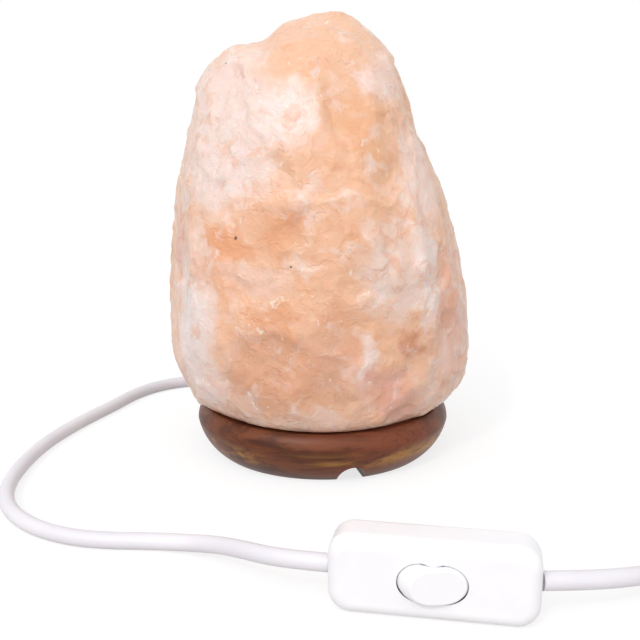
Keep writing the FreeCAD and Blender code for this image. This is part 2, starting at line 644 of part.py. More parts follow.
def make_bulb():
    export("bulb_contact", upright(BULB_TIP_RADIUS, tip_z, insulator_z))
    export("bulb_insulator", revolved((
        (0, insulator_z), (BULB_TIP_RADIUS + BULB_CAP_WALL, insulator_z),
        (BULB_CAP_RADIUS - BULB_CAP_WALL, cap_z), (0, cap_z))))

    outline = [(0, cap_z), (BULB_CAP_RADIUS - BULB_THREAD_DEPTH, cap_z)]
    for ring in range(BULB_THREADS):
        z = cap_z + BULB_CAP_WALL + ring * BULB_THREAD_PITCH
        outline.append((BULB_CAP_RADIUS - BULB_THREAD_DEPTH, z))
        outline.append((BULB_CAP_RADIUS, z + BULB_THREAD_PITCH / 2))
    outline += [(BULB_CAP_RADIUS - BULB_THREAD_DEPTH, cap_z + BULB_CAP_HEIGHT),
                (BULB_NECK_RADIUS, cap_z + BULB_CAP_HEIGHT), (BULB_NECK_RADIUS, cap_z + BULB_CAP_WALL),
                (0, cap_z + BULB_CAP_WALL)]
    export("bulb_cap", revolved(tuple(outline)))

    export("bulb_glass", glass_form(glass_z, 0).cut(glass_form(glass_z - 1, BULB_GLASS_WALL)))

    stem_top = glass_z + STEM_HEIGHT
    stem = revolved((
        (0, glass_z - STEM_FOOT), (BULB_NECK_RADIUS - BULB_GLASS_WALL, glass_z - STEM_FOOT),
        (BULB_NECK_RADIUS - BULB_GLASS_WALL, glass_z + 1), (STEM_RADIUS, glass_z + BULB_NECK_HEIGHT),
        (STEM_RADIUS, stem_top), (0, stem_top)))
    export("bulb_stem", stem)

    wires = []
    for side in (-1, 1):
        foot = Vector(side * STEM_RADIUS / 2, 0, stem_top)
        bend = Vector(side * STEM_RADIUS, 0, stem_top + 1)
        end = Vector(side * FILAMENT_SPREAD, 0, stem_top + FILAMENT_RISE)
        wires.append(rod(foot, bend, FILAMENT_WIRE).fuse(Part.makeSphere(FILAMENT_WIRE, bend))
                     .fuse(rod(bend, end, FILAMENT_WIRE)))
    export("bulb_leads", Part.makeCompound(wires))
    left = Vector(-FILAMENT_SPREAD, 0, stem_top + FILAMENT_RISE)
    right = Vector(FILAMENT_SPREAD, 0, stem_top + FILAMENT_RISE)
    crown = Vector(0, 0, stem_top + FILAMENT_RISE + FILAMENT_CROWN)
    path = Part.Wire(Part.Arc(left, crown, right).toShape())
    slope = path.Edges[0].tangentAt(path.Edges[0].FirstParameter)
    ring = Part.Wire(Part.Circle(left, slope, FILAMENT_RADIUS).toShape())
    export("bulb_filament", path.makePipeShell([ring], True, False))


def glass_form(bottom, inset):
    """The bulb's envelope, or the same form drawn in by a wall."""
    radius = BULB_GLASS_RADIUS - inset
    neck = BULB_NECK_RADIUS - inset
    centre = glass_z + BULB_GLASS_HEIGHT - BULB_GLASS_RADIUS
    rise = math.sqrt(0.5) * radius
    neck_top = bottom + BULB_NECK_HEIGHT
    waist = (neck_top + centre) / 2
    return revolved((
        (0, bottom), (neck, bottom), (neck, neck_top),
        (neck + (radius - neck) * BULB_SHOULDER, waist, radius, centre),
        (rise, centre + rise, 0, centre + radius)))


def make_switch_form(wall):
    """The switch's rounded body, drawn in by a wall. X is along it, Y is its depth."""
    half = Vector(SWITCH_LENGTH / 2 - wall, SWITCH_DEPTH / 2 - wall, SWITCH_HEIGHT / 2 - wall)
    form = block(half * -1, half)
    corners = [edge for edge in form.Edges if edge.BoundBox.XLength < 0.01 and edge.BoundBox.ZLength < 0.01]
    form = form.makeFillet(SWITCH_CORNER - wall, corners)
    loops = [edge for edge in form.Edges if edge.BoundBox.YLength < 0.01]
    return form.makeFillet(SWITCH_EDGE - wall, loops)


face_y = -SWITCH_DEPTH / 2
pivot_y = face_y + ROCKER_PIVOT_DEPTH
seesaw_top_y = pivot_y + PLUNGER_REACH + SEESAW_GAP
seesaw_pivot_y = seesaw_top_y + SEESAW_THICKNESS
floor_y = SWITCH_DEPTH / 2 - SWITCH_WALL
switch_place = Placement(Vector(SWITCH_X, SWITCH_Y, SWITCH_HEIGHT / 2),
                         Rotation(Vector(0, 0, 1), SWITCH_TURN)).toMatrix()


def rocker_form(gap):
    """Two lobes whose sides are turned about the pivot, so that they fit the opening at any tilt."""
    along = ROCKER_LENGTH / 2 - ROCKER_LOBE_OFFSET - gap
    high = ROCKER_HEIGHT / 2 - gap
    waist = -math.asin(ROCKER_LOBE_OFFSET / along)
    points = []
    for k in range(ROCKER_STATIONS + 1):
        angle = waist + (math.pi - 2 * waist) * k / ROCKER_STATIONS
        x = ROCKER_LOBE_OFFSET + along * math.sin(angle)
        points.append(Vector(math.hypot(x, ROCKER_PIVOT_DEPTH), 0, high * math.cos(angle)))
    curve = Part.BSplineCurve()
    curve.interpolate(points)
    below = Vector(0, 0, points[-1].z)
    above = Vector(0, 0, points[0].z)
    straights = [Part.LineSegment(a, b).toShape()
                 for a, b in ((points[-1], below), (below, above), (above, points[0]))]
    outline = Part.Wire([curve.toShape()] + straights)
    form = Part.Face(outline).revolve(Vector(0, 0, 0), Vector(0, 0, 1), 360)
    form.translate(Vector(0, pivot_y, 0))
    return form


def in_switch(shape):
    return shape.transformed(switch_place)


def tilted(shape, y, degrees):
    copy = shape.copy()
    copy.rotate(Vector(0, y, 0), Vector(0, 0, 1), degrees)
    return copy


def make_switch_shells():
    outer = make_switch_form(0)
    hollow = outer.cut(make_switch_form(SWITCH_WALL))
    entries = rod(Vector(-SWITCH_LENGTH, 0, 0), Vector(SWITCH_LENGTH, 0, 0), ENTRY_RADIUS)
    hollow = hollow.cut(entries)
    reach = SWITCH_LENGTH
    front_half = block(Vector(-reach, -reach, -reach), Vector(reach, 0, reach))
    front = hollow.common(front_half)
    rear = hollow.cut(front_half)

    boss_inner = ROCKER_HEIGHT / 2 + ROCKER_GAP
    inner_half = SWITCH_HEIGHT / 2 - SWITCH_WALL / 2
    within = make_switch_form(SWITCH_WALL / 2)
    for side in (-1, 1):
        boss = rod(Vector(0, pivot_y, side * boss_inner), Vector(0, pivot_y, side * inner_half),
                   PIN_BOSS_RADIUS)
        ends = sorted((side * boss_inner, side * inner_half))
        cheek = block(Vector(-PIN_BOSS_RADIUS, face_y + SWITCH_WALL / 2, ends[0]),
                      Vector(PIN_BOSS_RADIUS, pivot_y, ends[1]))
        front = front.fuse(boss.fuse(cheek).common(within))
    bore = rod(Vector(0, pivot_y, -PIN_LENGTH / 2), Vector(0, pivot_y, PIN_LENGTH / 2), PIN_RADIUS)
    front = front.cut(rocker_form(0)).cut(bore)

    screws = []
    for side in (-1, 1):
        x = side * HOUSING_SCREW_X
        z = side * HOUSING_SCREW_Z
        front_foot = Vector(x, face_y + SWITCH_WALL / 2, z)
        rear_foot = Vector(x, floor_y + SWITCH_WALL / 2, z)
        front = front.fuse(rod(front_foot, Vector(x, 0, z), HOUSING_BOSS_RADIUS))
        rear = rear.fuse(rod(Vector(x, 0, z), rear_foot, HOUSING_BOSS_RADIUS))
        head_y = SWITCH_DEPTH / 2 - HOUSING_SCREW_HEAD
        shank = rod(Vector(x, face_y + SWITCH_WALL * 2, z), Vector(x, head_y, z), HOUSING_SCREW_RADIUS)
        recess = rod(Vector(x, head_y, z), Vector(x, SWITCH_DEPTH, z), HOUSING_SCREW_HEAD_RADIUS)
        front = front.cut(shank)
        rear = rear.cut(shank).cut(recess)
        head = rod(Vector(x, head_y, z), Vector(x, head_y + HOUSING_SCREW_HEAD, z),
                   HOUSING_SCREW_HEAD_RADIUS)
        cut_half = Vector(HOUSING_BOSS_RADIUS, 0, HOUSING_SCREW_SLOT / 2)
        slot = block(Vector(x, head_y + HOUSING_SCREW_HEAD / 2, z) - cut_half,
                     Vector(x, SWITCH_DEPTH, z) + cut_half)
        screws.append(shank.fuse(head).removeSplitter().cut(slot))
    stop_top = seesaw_pivot_y + SEESAW_HALF_LENGTH * math.sin(math.radians(SEESAW_SWING)) + SEESAW_PLAY
    stop = block(Vector(-SEESAW_HALF_LENGTH, stop_top, -SEESAW_WIDTH / 2),
                 Vector(-SEESAW_HALF_LENGTH + SEESAW_STOP, floor_y + SWITCH_WALL / 2, SEESAW_WIDTH / 2))
    rear = rear.fuse(stop)
    export("switch_front_shell", in_switch(front.removeSplitter()))
    export("switch_rear_shell", in_switch(rear.removeSplitter()))
    export("housing_screws", in_switch(Part.makeCompound(screws)))


def make_rocker():
    """Rocker, pin, plunger and spring. Its front is hollow, and at rest its right lobe is in."""
    reach = ROCKER_LENGTH
    front_y = face_y - ROCKER_PROUD
    rear_y = pivot_y + ROCKER_WEB
    behind = block(Vector(-reach, rear_y, -reach), Vector(reach, rear_y + reach, reach))
    dish_y = front_y - ROCKER_DISH_RADIUS
    dish = rod(Vector(0, dish_y, -reach), Vector(0, dish_y, reach), ROCKER_DISH_RADIUS)
    ahead = block(Vector(-reach, dish_y, -reach), Vector(reach, front_y - ROCKER_PROUD, reach))
    rocker = rocker_form(ROCKER_GAP).cut(behind).cut(dish.fuse(ahead))
    rim = [edge for edge in rocker.Edges if edge.BoundBox.YMax < face_y]
    rocker = rocker.makeFillet(ROCKER_EDGE, rim)
    keel = block(Vector(-ROCKER_KEEL_WIDTH / 2, pivot_y, -ROCKER_KEEL_WIDTH / 2),
                 Vector(ROCKER_KEEL_WIDTH / 2, pivot_y + ROCKER_KEEL_DEPTH, ROCKER_KEEL_WIDTH / 2))
    rocker = rocker.fuse(keel)
    pin_bore = rod(Vector(0, pivot_y, -reach), Vector(0, pivot_y, reach), PIN_RADIUS + PIN_PLAY)
    socket_top = pivot_y + PLUNGER_REACH - PLUNGER_LENGTH - SPRING_WIRE * 2
    socket = rod(Vector(0, socket_top, 0), Vector(0, pivot_y + ROCKER_KEEL_DEPTH + 1, 0),
                 PLUNGER_RADIUS + PLUNGER_PLAY)
    rocker = rocker.cut(pin_bore).cut(socket)

    tip_y = pivot_y + PLUNGER_REACH
    hollow_end = tip_y - PLUNGER_RADIUS
    plunger_rear = Vector(0, tip_y - PLUNGER_LENGTH, 0)
    plunger = rod(plunger_rear, Vector(0, hollow_end, 0), PLUNGER_RADIUS)
    plunger = plunger.fuse(Part.makeSphere(PLUNGER_RADIUS, Vector(0, hollow_end, 0)))
    plunger = plunger.cut(rod(plunger_rear, Vector(0, hollow_end, 0), PLUNGER_HOLLOW_RADIUS))
    spring_radius = PLUNGER_HOLLOW_RADIUS - SPRING_WIRE - PLUNGER_PLAY
    spring_length = hollow_end - socket_top - 2 * SPRING_WIRE
    helix = Part.makeHelix(spring_length / SPRING_TURNS, spring_length, spring_radius)
    ring = Part.Wire(Part.Circle(Vector(spring_radius, 0, 0), Vector(0, 1, 0), SPRING_WIRE).toShape())
    spring = Part.Wire(helix.Edges).makePipeShell([ring], True, True)
    spring.rotate(Vector(0, 0, 0), Vector(1, 0, 0), -90)
    spring.translate(Vector(0, socket_top + SPRING_WIRE, 0))

    export("rocker", in_switch(tilted(rocker, pivot_y, ROCKER_SWING)))
    export("plunger", in_switch(tilted(plunger, pivot_y, ROCKER_SWING)))
    export("plunger_spring", in_switch(tilted(spring, pivot_y, ROCKER_SWING)))
    pin = rod(Vector(0, pivot_y, -PIN_LENGTH / 2), Vector(0, pivot_y, PIN_LENGTH / 2), PIN_RADIUS)
    export("rocker_pin", in_switch(pin))


def make_contacts():
    half = SEESAW_WIDTH / 2
    seesaw = block(Vector(-SEESAW_HALF_LENGTH, seesaw_top_y, -half),
                   Vector(SEESAW_HALF_LENGTH, seesaw_pivot_y, half))
    button_x = SEESAW_HALF_LENGTH - BUTTON_INSET
    seesaw = seesaw.fuse(rod(Vector(button_x, seesaw_pivot_y, 0),
                             Vector(button_x, seesaw_pivot_y + BUTTON_HEIGHT, 0), BUTTON_RADIUS))
    export("seesaw_contact", in_switch(tilted(seesaw, seesaw_pivot_y, -SEESAW_SWING)))

    block_half = SWITCH_TERMINAL / 2
    strip_y = floor_y - SWITCH_STRIP
    terminal_y = floor_y - SWITCH_TERMINAL
    screws = []

    def terminal(x, z):
        screw_hole = rod(Vector(x, terminal_y, z), Vector(x, terminal_y + TERMINAL_SCREW_LENGTH, z),
                         TERMINAL_SCREW_RADIUS)
        head = rod(Vector(x, terminal_y - SMALL_SCREW_HEAD, z), Vector(x, terminal_y, z),
                   TERMINAL_SCREW_HEAD_RADIUS)
        screws.append(screw_hole.fuse(head))
        body = block(Vector(x - block_half, terminal_y, z - block_half),
                     Vector(x + block_half, floor_y, z + block_half))
        return body.cut(screw_hole)

    edge = STRIP_WIDTH / 2
    rib = SUPPORT_THICKNESS / 2
    support = block(Vector(-rib, seesaw_pivot_y + SEESAW_PLAY, -half), Vector(rib, floor_y, half))
    line = terminal(-SWITCH_TERMINAL_X, LIVE_Z)
    line = line.fuse(block(Vector(-SWITCH_TERMINAL_X, strip_y, LIVE_Z - edge),
                           Vector(rib, floor_y, LIVE_Z + edge)))
    line = line.fuse(block(Vector(rib - LINE_TONGUE, strip_y, LIVE_Z - edge), Vector(rib, floor_y, half)))
    export("line_terminal", in_switch(line.fuse(support).removeSplitter()))

    pad_drop = button_x * math.sin(math.radians(SEESAW_SWING)) + BUTTON_HEIGHT + SEESAW_PLAY
    pad_top = seesaw_pivot_y + pad_drop
    load = terminal(SWITCH_TERMINAL_X, LIVE_Z)
    pad_x = SEESAW_HALF_LENGTH - 2 * BUTTON_INSET
    load = load.fuse(block(Vector(pad_x, strip_y, LIVE_Z - edge),
                           Vector(SWITCH_TERMINAL_X, floor_y, LIVE_Z + edge)))
    load = load.fuse(block(Vector(pad_x, pad_top, LIVE_Z - edge),
                           Vector(SEESAW_HALF_LENGTH, floor_y, half)))
    export("load_terminal", in_switch(load.removeSplitter()))

    neutral = terminal(-SWITCH_TERMINAL_X, NEUTRAL_Z).fuse(terminal(SWITCH_TERMINAL_X, NEUTRAL_Z))
    neutral = neutral.fuse(block(Vector(-SWITCH_TERMINAL_X, strip_y, NEUTRAL_Z - edge),
                                 Vector(SWITCH_TERMINAL_X, floor_y, NEUTRAL_Z + edge)))
    export("neutral_bar", in_switch(neutral.removeSplitter()))
    export("switch_terminal_screws", in_switch(Part.makeCompound(screws)))

    clamp_y = -LEAD_RADIUS - CLAMP_HEIGHT
    clamps = []
    clamp_screws = []
    stubs = []
    cores = []
    for side in (-1, 1):
        x = side * CLAMP_X
        start = Vector(x - CLAMP_LENGTH / 2, clamp_y, -CLAMP_SPAN / 2)
        clamp = block(start, start + Vector(CLAMP_LENGTH, CLAMP_HEIGHT, CLAMP_SPAN))
        for end in (-1, 1):
            z = end * CLAMP_SCREW_OFFSET
            shank = rod(Vector(x, clamp_y, z), Vector(x, floor_y, z), HOUSING_SCREW_RADIUS)
            clamp = clamp.cut(shank)
            head = rod(Vector(x, clamp_y - CLAMP_SCREW_HEAD, z), Vector(x, clamp_y, z),
                       CLAMP_SCREW_HEAD_RADIUS)
            clamp_screws.append(shank.fuse(head))
        clamps.append(clamp)
        inner = side * (CLAMP_X - CLAMP_LENGTH / 2 - CLAMP_STUB)
        outer = side * (SWITCH_LENGTH / 2 - ENTRY_SLACK)
        stubs.append(rod(Vector(outer, 0, 0), Vector(inner, 0, 0), LEAD_RADIUS))
        for z in (LIVE_Z, NEUTRAL_Z):
            tip = Vector(side * (SWITCH_TERMINAL_X + block_half), terminal_y + CORE_RADIUS, z * CORE_REACH)
            root = Vector(inner, 0, math.copysign(CORE_INSET, z))
            cores.append(rod(root, tip, CORE_RADIUS))
    export("cord_clamps", in_switch(Part.makeCompound(clamps)))
    export("clamp_screws", in_switch(Part.makeCompound(clamp_screws)))
    export("switch_lead_ends", in_switch(Part.makeCompound(stubs)))
    export("switch_cores", in_switch(Part.makeCompound(cores)))


def tube(name, points):
    """The lead along straight runs joined by tangent arcs, each as large as its two runs allow."""
    edges = []
    radii = []
    here = points[0]
    for before, corner, after in zip(points, points[1:], points[2:]):
        reach = 0.45 * min(before.distanceToPoint(corner), corner.distanceToPoint(after))
        start = corner + (before - corner).normalize() * reach
        end = corner + (after - corner).normalize() * reach
        bend, radius = arc_between(start, corner, end)
        edges += [Part.LineSegment(here, start).toShape(), bend]
        radii.append(round(radius))
        here = end
    edges.append(Part.LineSegment(here, points[-1]).toShape())
    path = Part.Wire(edges)
    ring = Part.Wire(Part.Circle(points[0], points[1] - points[0], LEAD_RADIUS).toShape())
    solid = path.makePipeShell([ring], True, False)
    ratio = solid.Volume / (math.pi * LEAD_RADIUS ** 2 * path.Length)
    print(name, "length", round(path.Length, 1), "volume ratio", round(ratio, 4), "radii", radii)
    return export(name, solid)


coil_centre = Vector(COIL_X, COIL_Y, COIL_BOTTOM + LEAD_RADIUS)
straight_end = 2 * LEAD_RADIUS


def coil_point(turn):
    """Centre of the lead after so many turns: in on the lower layer, up, and out on the upper one."""
    radius = COIL_RADIUS - COIL_PITCH * min(turn, COIL_TURNS - turn)
    climbed = min(max(turn - (COIL_TURNS - 0.5) / 2, 0.0), 0.5) * 2
    rise = COIL_PITCH * (1 - math.cos(math.pi * climbed)) / 2
    return coil_centre + at_angle(radius, COIL_START - 360.0 * turn, rise)


def coil_heading(turn):
    step = 0.002
    return (coil_point(turn + step) - coil_point(turn - step)).normalize()


def coil_turns():
    """Places along the coil between which it is bent by a pair of arcs, a quarter turn at most."""
    spiral = (COIL_TURNS - 0.5) / 2
    count = math.ceil(4 * spiral)
    lower = [spiral * k / count for k in range(count + 1)]
    middle = [spiral + 0.25]
    upper = [COIL_TURNS - turn for turn in lower[::-1]]
    return lower + middle + upper


def two_arcs(start, start_heading, end, end_heading):
    """Two equal tangent arcs from one place and heading to another."""
    chord = end - start
    both = start_heading + end_heading
    spread = 2 * (1 - start_heading.dot(end_heading))
    reach = (math.sqrt(chord.dot(both) ** 2 + spread * chord.dot(chord)) - chord.dot(both)) / spread
    first = start + start_heading * reach
    last = end - end_heading * reach
    joint = (first + last) * 0.5
    return [arc_between(start, first, joint)[0], arc_between(joint, last, end)[0]]


def make_coil():
    turns = coil_turns()
    places = [coil_point(turn) for turn in turns]
    headings = [coil_heading(turn) for turn in turns]
    headings[0] = (headings[0] - Vector(0, 0, headings[0].z)).normalize()
    lead_in = places[0] - headings[0] * straight_end
    lead_out = places[-1] + headings[-1] * straight_end
    edges = [Part.LineSegment(lead_in, places[0]).toShape()]
    for k in range(len(turns) - 1):
        edges += two_arcs(places[k], headings[k], places[k + 1], headings[k + 1])
    edges.append(Part.LineSegment(places[-1], lead_out).toShape())
    path = Part.Wire(edges)
    ring = Part.Wire(Part.Circle(lead_in, headings[0], LEAD_RADIUS).toShape())
    solid = path.makePipeShell([ring], True, False)
    per_turn = 90
    samples = [coil_point(k / per_turn) for k in range(int(COIL_TURNS * per_turn) + 1)]
    gap = min(a.distanceToPoint(b) for i, a in enumerate(samples) for b in samples[i + per_turn // 2:])
    ratio = solid.Volume / (math.pi * LEAD_RADIUS ** 2 * path.Length)
    print("lead_coil length", round(path.Length, 1), "volume ratio", round(ratio, 4),
          "least gap", round(gap - 2 * LEAD_RADIUS, 2))
    export("lead_coil", solid)

    width = (COIL_TURNS - 0.5) / 2 * COIL_PITCH + 2 * LEAD_RADIUS
    inner = COIL_RADIUS + LEAD_RADIUS - width - TIE_OVERHANG - TIE_PLAY
    outer = COIL_RADIUS + LEAD_RADIUS + TIE_PLAY
    height = COIL_BOTTOM + 2 * LEAD_RADIUS + COIL_PITCH + TIE_PLAY

    def long_edges(shape):
        return [edge for edge in shape.Edges
                if edge.BoundBox.XLength < 0.01 and edge.BoundBox.ZLength < 0.01]

    band = block(Vector(inner - TIE_THICKNESS, -TIE_WIDTH / 2, 0),
                 Vector(outer + TIE_THICKNESS, TIE_WIDTH / 2, height + TIE_THICKNESS))
    band = band.makeFillet(LEAD_RADIUS, long_edges(band))
    hollow = block(Vector(inner, -TIE_WIDTH, TIE_THICKNESS), Vector(outer, TIE_WIDTH, height))
    hollow = hollow.makeFillet(LEAD_RADIUS - TIE_THICKNESS, long_edges(hollow))
    tie = turned(band.cut(hollow), TIE_ANGLE)
    tie.translate(Vector(COIL_X, COIL_Y, 0))
    export("coil_tie", tie)
    return lead_in, headings[0], lead_out, headings[-1]


def make_plug():
    """Flat two-pin plug, lying on the table, with its pins to the front."""
    axis_z = PLUG_FACE_HEIGHT / 2

    def section(y, width, height):
        corner = PLUG_CORNER
        low_x = PLUG_X - width / 2
        low_z = axis_z - height / 2
        corner_points = []
        for cx, cz, start in ((low_x + width - corner, low_z + height - corner, 0),
                              (low_x + corner, low_z + height - corner, 90),
                              (low_x + corner, low_z + corner, 180),
                              (low_x + width - corner, low_z + corner, 270)):
            corner_points.append([Vector(cx + corner * math.cos(math.radians(start + part)), y,
                                         cz + corner * math.sin(math.radians(start + part)))
                                  for part in (0, 45, 90)])
        edges = []
        for k, (a, b, c) in enumerate(corner_points):
            edges.append(Part.Arc(a, b, c).toShape())
            edges.append(Part.LineSegment(c, corner_points[(k + 1) % 4][0]).toShape())
        return Part.Wire(edges)

    face_plug_y = PLUG_Y - PLUG_LENGTH_ALONG
    sections = [section(PLUG_Y - PLUG_LENGTH_ALONG * share, width, height)
                for share, width, height in PLUG_SECTIONS]
    plug = Part.makeLoft(sections, True, True)

    pins = []
    sleeves = []
    for side in (-1, 1):
        root = Vector(PLUG_X + side * PIN_PITCH / 2, face_plug_y, axis_z)
        tip = Vector(PLUG_X + side * PIN_TIP_PITCH / 2, face_plug_y - MAINS_PIN_LENGTH, axis_z)
        along = (tip - root).normalize()
        start = root - along * PIN_ROOT
        plug = plug.cut(rod(start, root + along, PIN_SLEEVE_RADIUS))
        sleeve_end = root + along * PIN_SLEEVE_LENGTH
        core_radius = PIN_SLEEVE_RADIUS - PIN_SLEEVE_WALL
        pin = rod(start, sleeve_end, core_radius)
        bare = rod(sleeve_end, tip, MAINS_PIN_RADIUS)
        end_edge = [edge for edge in bare.Edges if edge.CenterOfMass.distanceToPoint(tip) < 0.01]
        pins.append(pin.fuse(bare.makeFillet(PIN_TIP_ROUNDING, end_edge)))
        sleeves.append(rod(start, sleeve_end, PIN_SLEEVE_RADIUS).cut(rod(start, sleeve_end, core_radius)))
    export("plug_body", plug)
    export("plug_pins", Part.makeCompound(pins))
    export("pin_sleeves", Part.makeCompound(sleeves))

    relief_end = Vector(PLUG_X, PLUG_Y + RELIEF_LENGTH, axis_z)
    relief = Part.makeCone(RELIEF_ROOT_RADIUS, RELIEF_END_RADIUS, RELIEF_LENGTH,
                           Vector(PLUG_X, PLUG_Y, axis_z), Vector(0, 1, 0))
    bore = rod(Vector(PLUG_X, PLUG_Y, axis_z), relief_end, LEAD_RADIUS)
    relief = relief.cut(bore)
    pitch = RELIEF_LENGTH / (RELIEF_RIBS + 1)
    wide = 2 * RELIEF_ROOT_RADIUS
    for rib in range(RELIEF_RIBS):
        y = PLUG_Y + pitch * (rib + RELIEF_FIRST)
        for side in (-1, 1):
            ends = sorted((side * RELIEF_SPINE, side * wide))
            if rib % 2:
                low = Vector(PLUG_X - wide, y, axis_z + ends[0])
                high = Vector(PLUG_X + wide, y + RELIEF_SLOT, axis_z + ends[1])
            else:
                low = Vector(PLUG_X + ends[0], y, axis_z - wide)
                high = Vector(PLUG_X + ends[1], y + RELIEF_SLOT, axis_z + wide)
            relief = relief.cut(block(low, high))
    export("plug_strain_relief", relief)
    return relief_end


os.makedirs("parts", exist_ok=True)
export("salt_crystal", make_crystal())
export("wooden_base", make_base())
make_screws()
make_holder()
make_clips()
make_bulb()
make_switch_shells()
make_rocker()
make_contacts()
coil_in, heading_in, coil_out, heading_out = make_coil()
relief_end = make_plug()

switch_left = switch_place.multVec(Vector(-SWITCH_LENGTH / 2, 0, 0))
switch_right = switch_place.multVec(Vector(SWITCH_LENGTH / 2, 0, 0))
switch_along = (switch_right - switch_left).normalize()
groove_mouth = at_angle(GROOVE_LEAD_END, groove_azimuth, LEAD_AXIS_Z)
to_switch = [groove_mouth] + [Vector(*place) for place in ROUTE_TO_SWITCH]
to_switch += [switch_left - switch_along * LAST_RUN_TO_SWITCH, switch_left]
tube("lead_to_switch", to_switch)
to_coil = [switch_right] + [Vector(*place) for place in ROUTE_FROM_SWITCH]
tube("lead_to_coil", to_coil + [coil_in - heading_in * LAST_RUN_TO_COIL, coil_in])
to_plug = [coil_out, coil_out + heading_out * FIRST_RUN_FROM_COIL]
to_plug += [Vector(*place) for place in ROUTE_FROM_COIL]
tube("lead_to_plug", to_plug + [relief_end + Vector(0, LAST_RUN_TO_PLUG, 0), relief_end])
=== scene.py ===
import math

import bpy
import bmesh
import numpy as np
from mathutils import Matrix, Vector


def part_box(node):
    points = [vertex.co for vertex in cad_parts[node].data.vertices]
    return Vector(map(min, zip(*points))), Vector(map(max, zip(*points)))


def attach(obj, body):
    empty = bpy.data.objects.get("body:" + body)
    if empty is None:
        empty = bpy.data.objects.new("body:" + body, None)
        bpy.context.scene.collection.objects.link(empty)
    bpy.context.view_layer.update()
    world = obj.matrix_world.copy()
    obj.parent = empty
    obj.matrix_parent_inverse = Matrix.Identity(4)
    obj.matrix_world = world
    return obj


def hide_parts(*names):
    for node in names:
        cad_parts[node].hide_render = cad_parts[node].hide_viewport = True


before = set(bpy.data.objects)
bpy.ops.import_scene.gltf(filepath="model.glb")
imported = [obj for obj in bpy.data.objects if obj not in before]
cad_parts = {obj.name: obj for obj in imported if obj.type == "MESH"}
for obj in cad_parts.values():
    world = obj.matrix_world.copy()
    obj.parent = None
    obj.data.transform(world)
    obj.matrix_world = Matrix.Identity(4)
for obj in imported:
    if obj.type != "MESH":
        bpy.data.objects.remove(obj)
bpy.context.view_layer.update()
mm = 0.001
fullWhite = (1, 1, 1, 1)
softEdges = (0.3, 0.7)  # where a pattern starts and is full
firmEdges = (0.35, 0.65)
print("frame loaded,", len(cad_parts), "nodes")


# Small helpers for places, node trees and finishes.

def metres(place):  # a place or a size that is given in mm
    return [c * mm for c in place]


def tint(code):  # a screen colour such as "f3cfb4" as linear light
    parts = [int(code[i:i + 2], 16) / 255 for i in (0, 2, 4)]
    return tuple(c / 12.92 if c <= 0.04045 else ((c + 0.055) / 1.055) ** 2.4 for c in parts) + (1.0,)


def addObject(name, data):
    thing = bpy.data.objects.new(name, data)
    bpy.context.scene.collection.objects.link(thing)
    return thing


def addNode(tree, kind, inputs=None, **settings):  # an input is a plain value or another node's output
    node = tree.nodes.new(kind)
    for name, value in settings.items():
        setattr(node, name, value)
    for name, value in (inputs or {}).items():
        if isinstance(value, bpy.types.NodeSocket):
            tree.links.new(value, node.inputs[name])
        else:
            node.inputs[name].default_value = value
    return node


def startFinish(name, **sockets):
    finish = bpy.data.materials.new(name)
    finish.use_nodes = True
    tree = finish.node_tree
    tree.nodes.clear()
    shader = tree.nodes.new("ShaderNodeBsdfPrincipled")
    output = tree.nodes.new("ShaderNodeOutputMaterial")
    tree.links.new(shader.outputs["BSDF"], output.inputs["Surface"])
    for socket, value in sockets.items():
        shader.inputs[socket.replace("_", " ")].default_value = value
    return finish, tree, shader


def objectPlace(tree):
    return addNode(tree, "ShaderNodeTexCoord").outputs["Object"]


def stretched(tree, place, scale=(1, 1, 1), turn=(0, 0, 0), shift=(0, 0, 0)):
    return addNode(tree, "ShaderNodeMapping", {"Vector": place, "Location": shift, "Rotation": turn,
                                               "Scale": scale}).outputs["Vector"]


def cloud(tree, place, scale, detail=3.0, rough=0.5, warp=0.0, output="Fac"):
    return addNode(tree, "ShaderNodeTexNoise", {"Vector": place, "Scale": scale, "Detail": detail,
                                                "Roughness": rough, "Distortion": warp}).outputs[output]


def ramp(tree, value, low, high, lowValue=0.0, highValue=1.0):  # smooth step from low to high
    return addNode(tree, "ShaderNodeMapRange", {"Value": value, "From Min": low, "From Max": high,
                                                "To Min": lowValue, "To Max": highValue},
                   interpolation_type="SMOOTHSTEP").outputs["Result"]


def combine(tree, kind, first, second):
    return addNode(tree, "ShaderNodeMath", {0: first, 1: second}, operation=kind).outputs["Value"]


def combineVectors(tree, kind, first, second, output="Vector"):
    return addNode(tree, "ShaderNodeVectorMath", {0: first, 1: second}, operation=kind).outputs[output]


def scaled(tree, vector, size):
    return addNode(tree, "ShaderNodeVectorMath", {0: vector, "Scale": size},
                   operation="SCALE").outputs["Vector"]


def stirred(tree, place, source, scale, detail, rough, reach):  # moved about by a cloud over source
    drift = combineVectors(tree, "SUBTRACT", cloud(tree, source, scale, detail, rough, output="Color"),
                           (0.5, 0.5, 0.5))
    return combineVectors(tree, "ADD", place, scaled(tree, drift, reach))


def mixed(tree, share, first, second):  # colours: first where share is 0, second where it is 1
    return addNode(tree, "ShaderNodeMix", {"Factor": share, 6: first, 7: second}, data_type="RGBA").outputs[2]


def bumped(tree, shader, height, distance, strength, socket="Normal"):
    bump = addNode(tree, "ShaderNodeBump", {"Height": height, "Distance": distance, "Strength": strength})
    tree.links.new(bump.outputs["Normal"], shader.inputs[socket])


def patchy(tree, shader, pattern, edges, colour, shade):  # two near colours in soft patches
    tree.links.new(mixed(tree, ramp(tree, pattern, *edges), tint(colour), tint(shade)),
                   shader.inputs["Base Color"])


def roughened(tree, shader, pattern, edges, smoothest, roughest):
    tree.links.new(ramp(tree, pattern, *edges, smoothest, roughest), shader.inputs["Roughness"])


# Camera at the photograph's place: level with the rock's upper half and looking down a little.

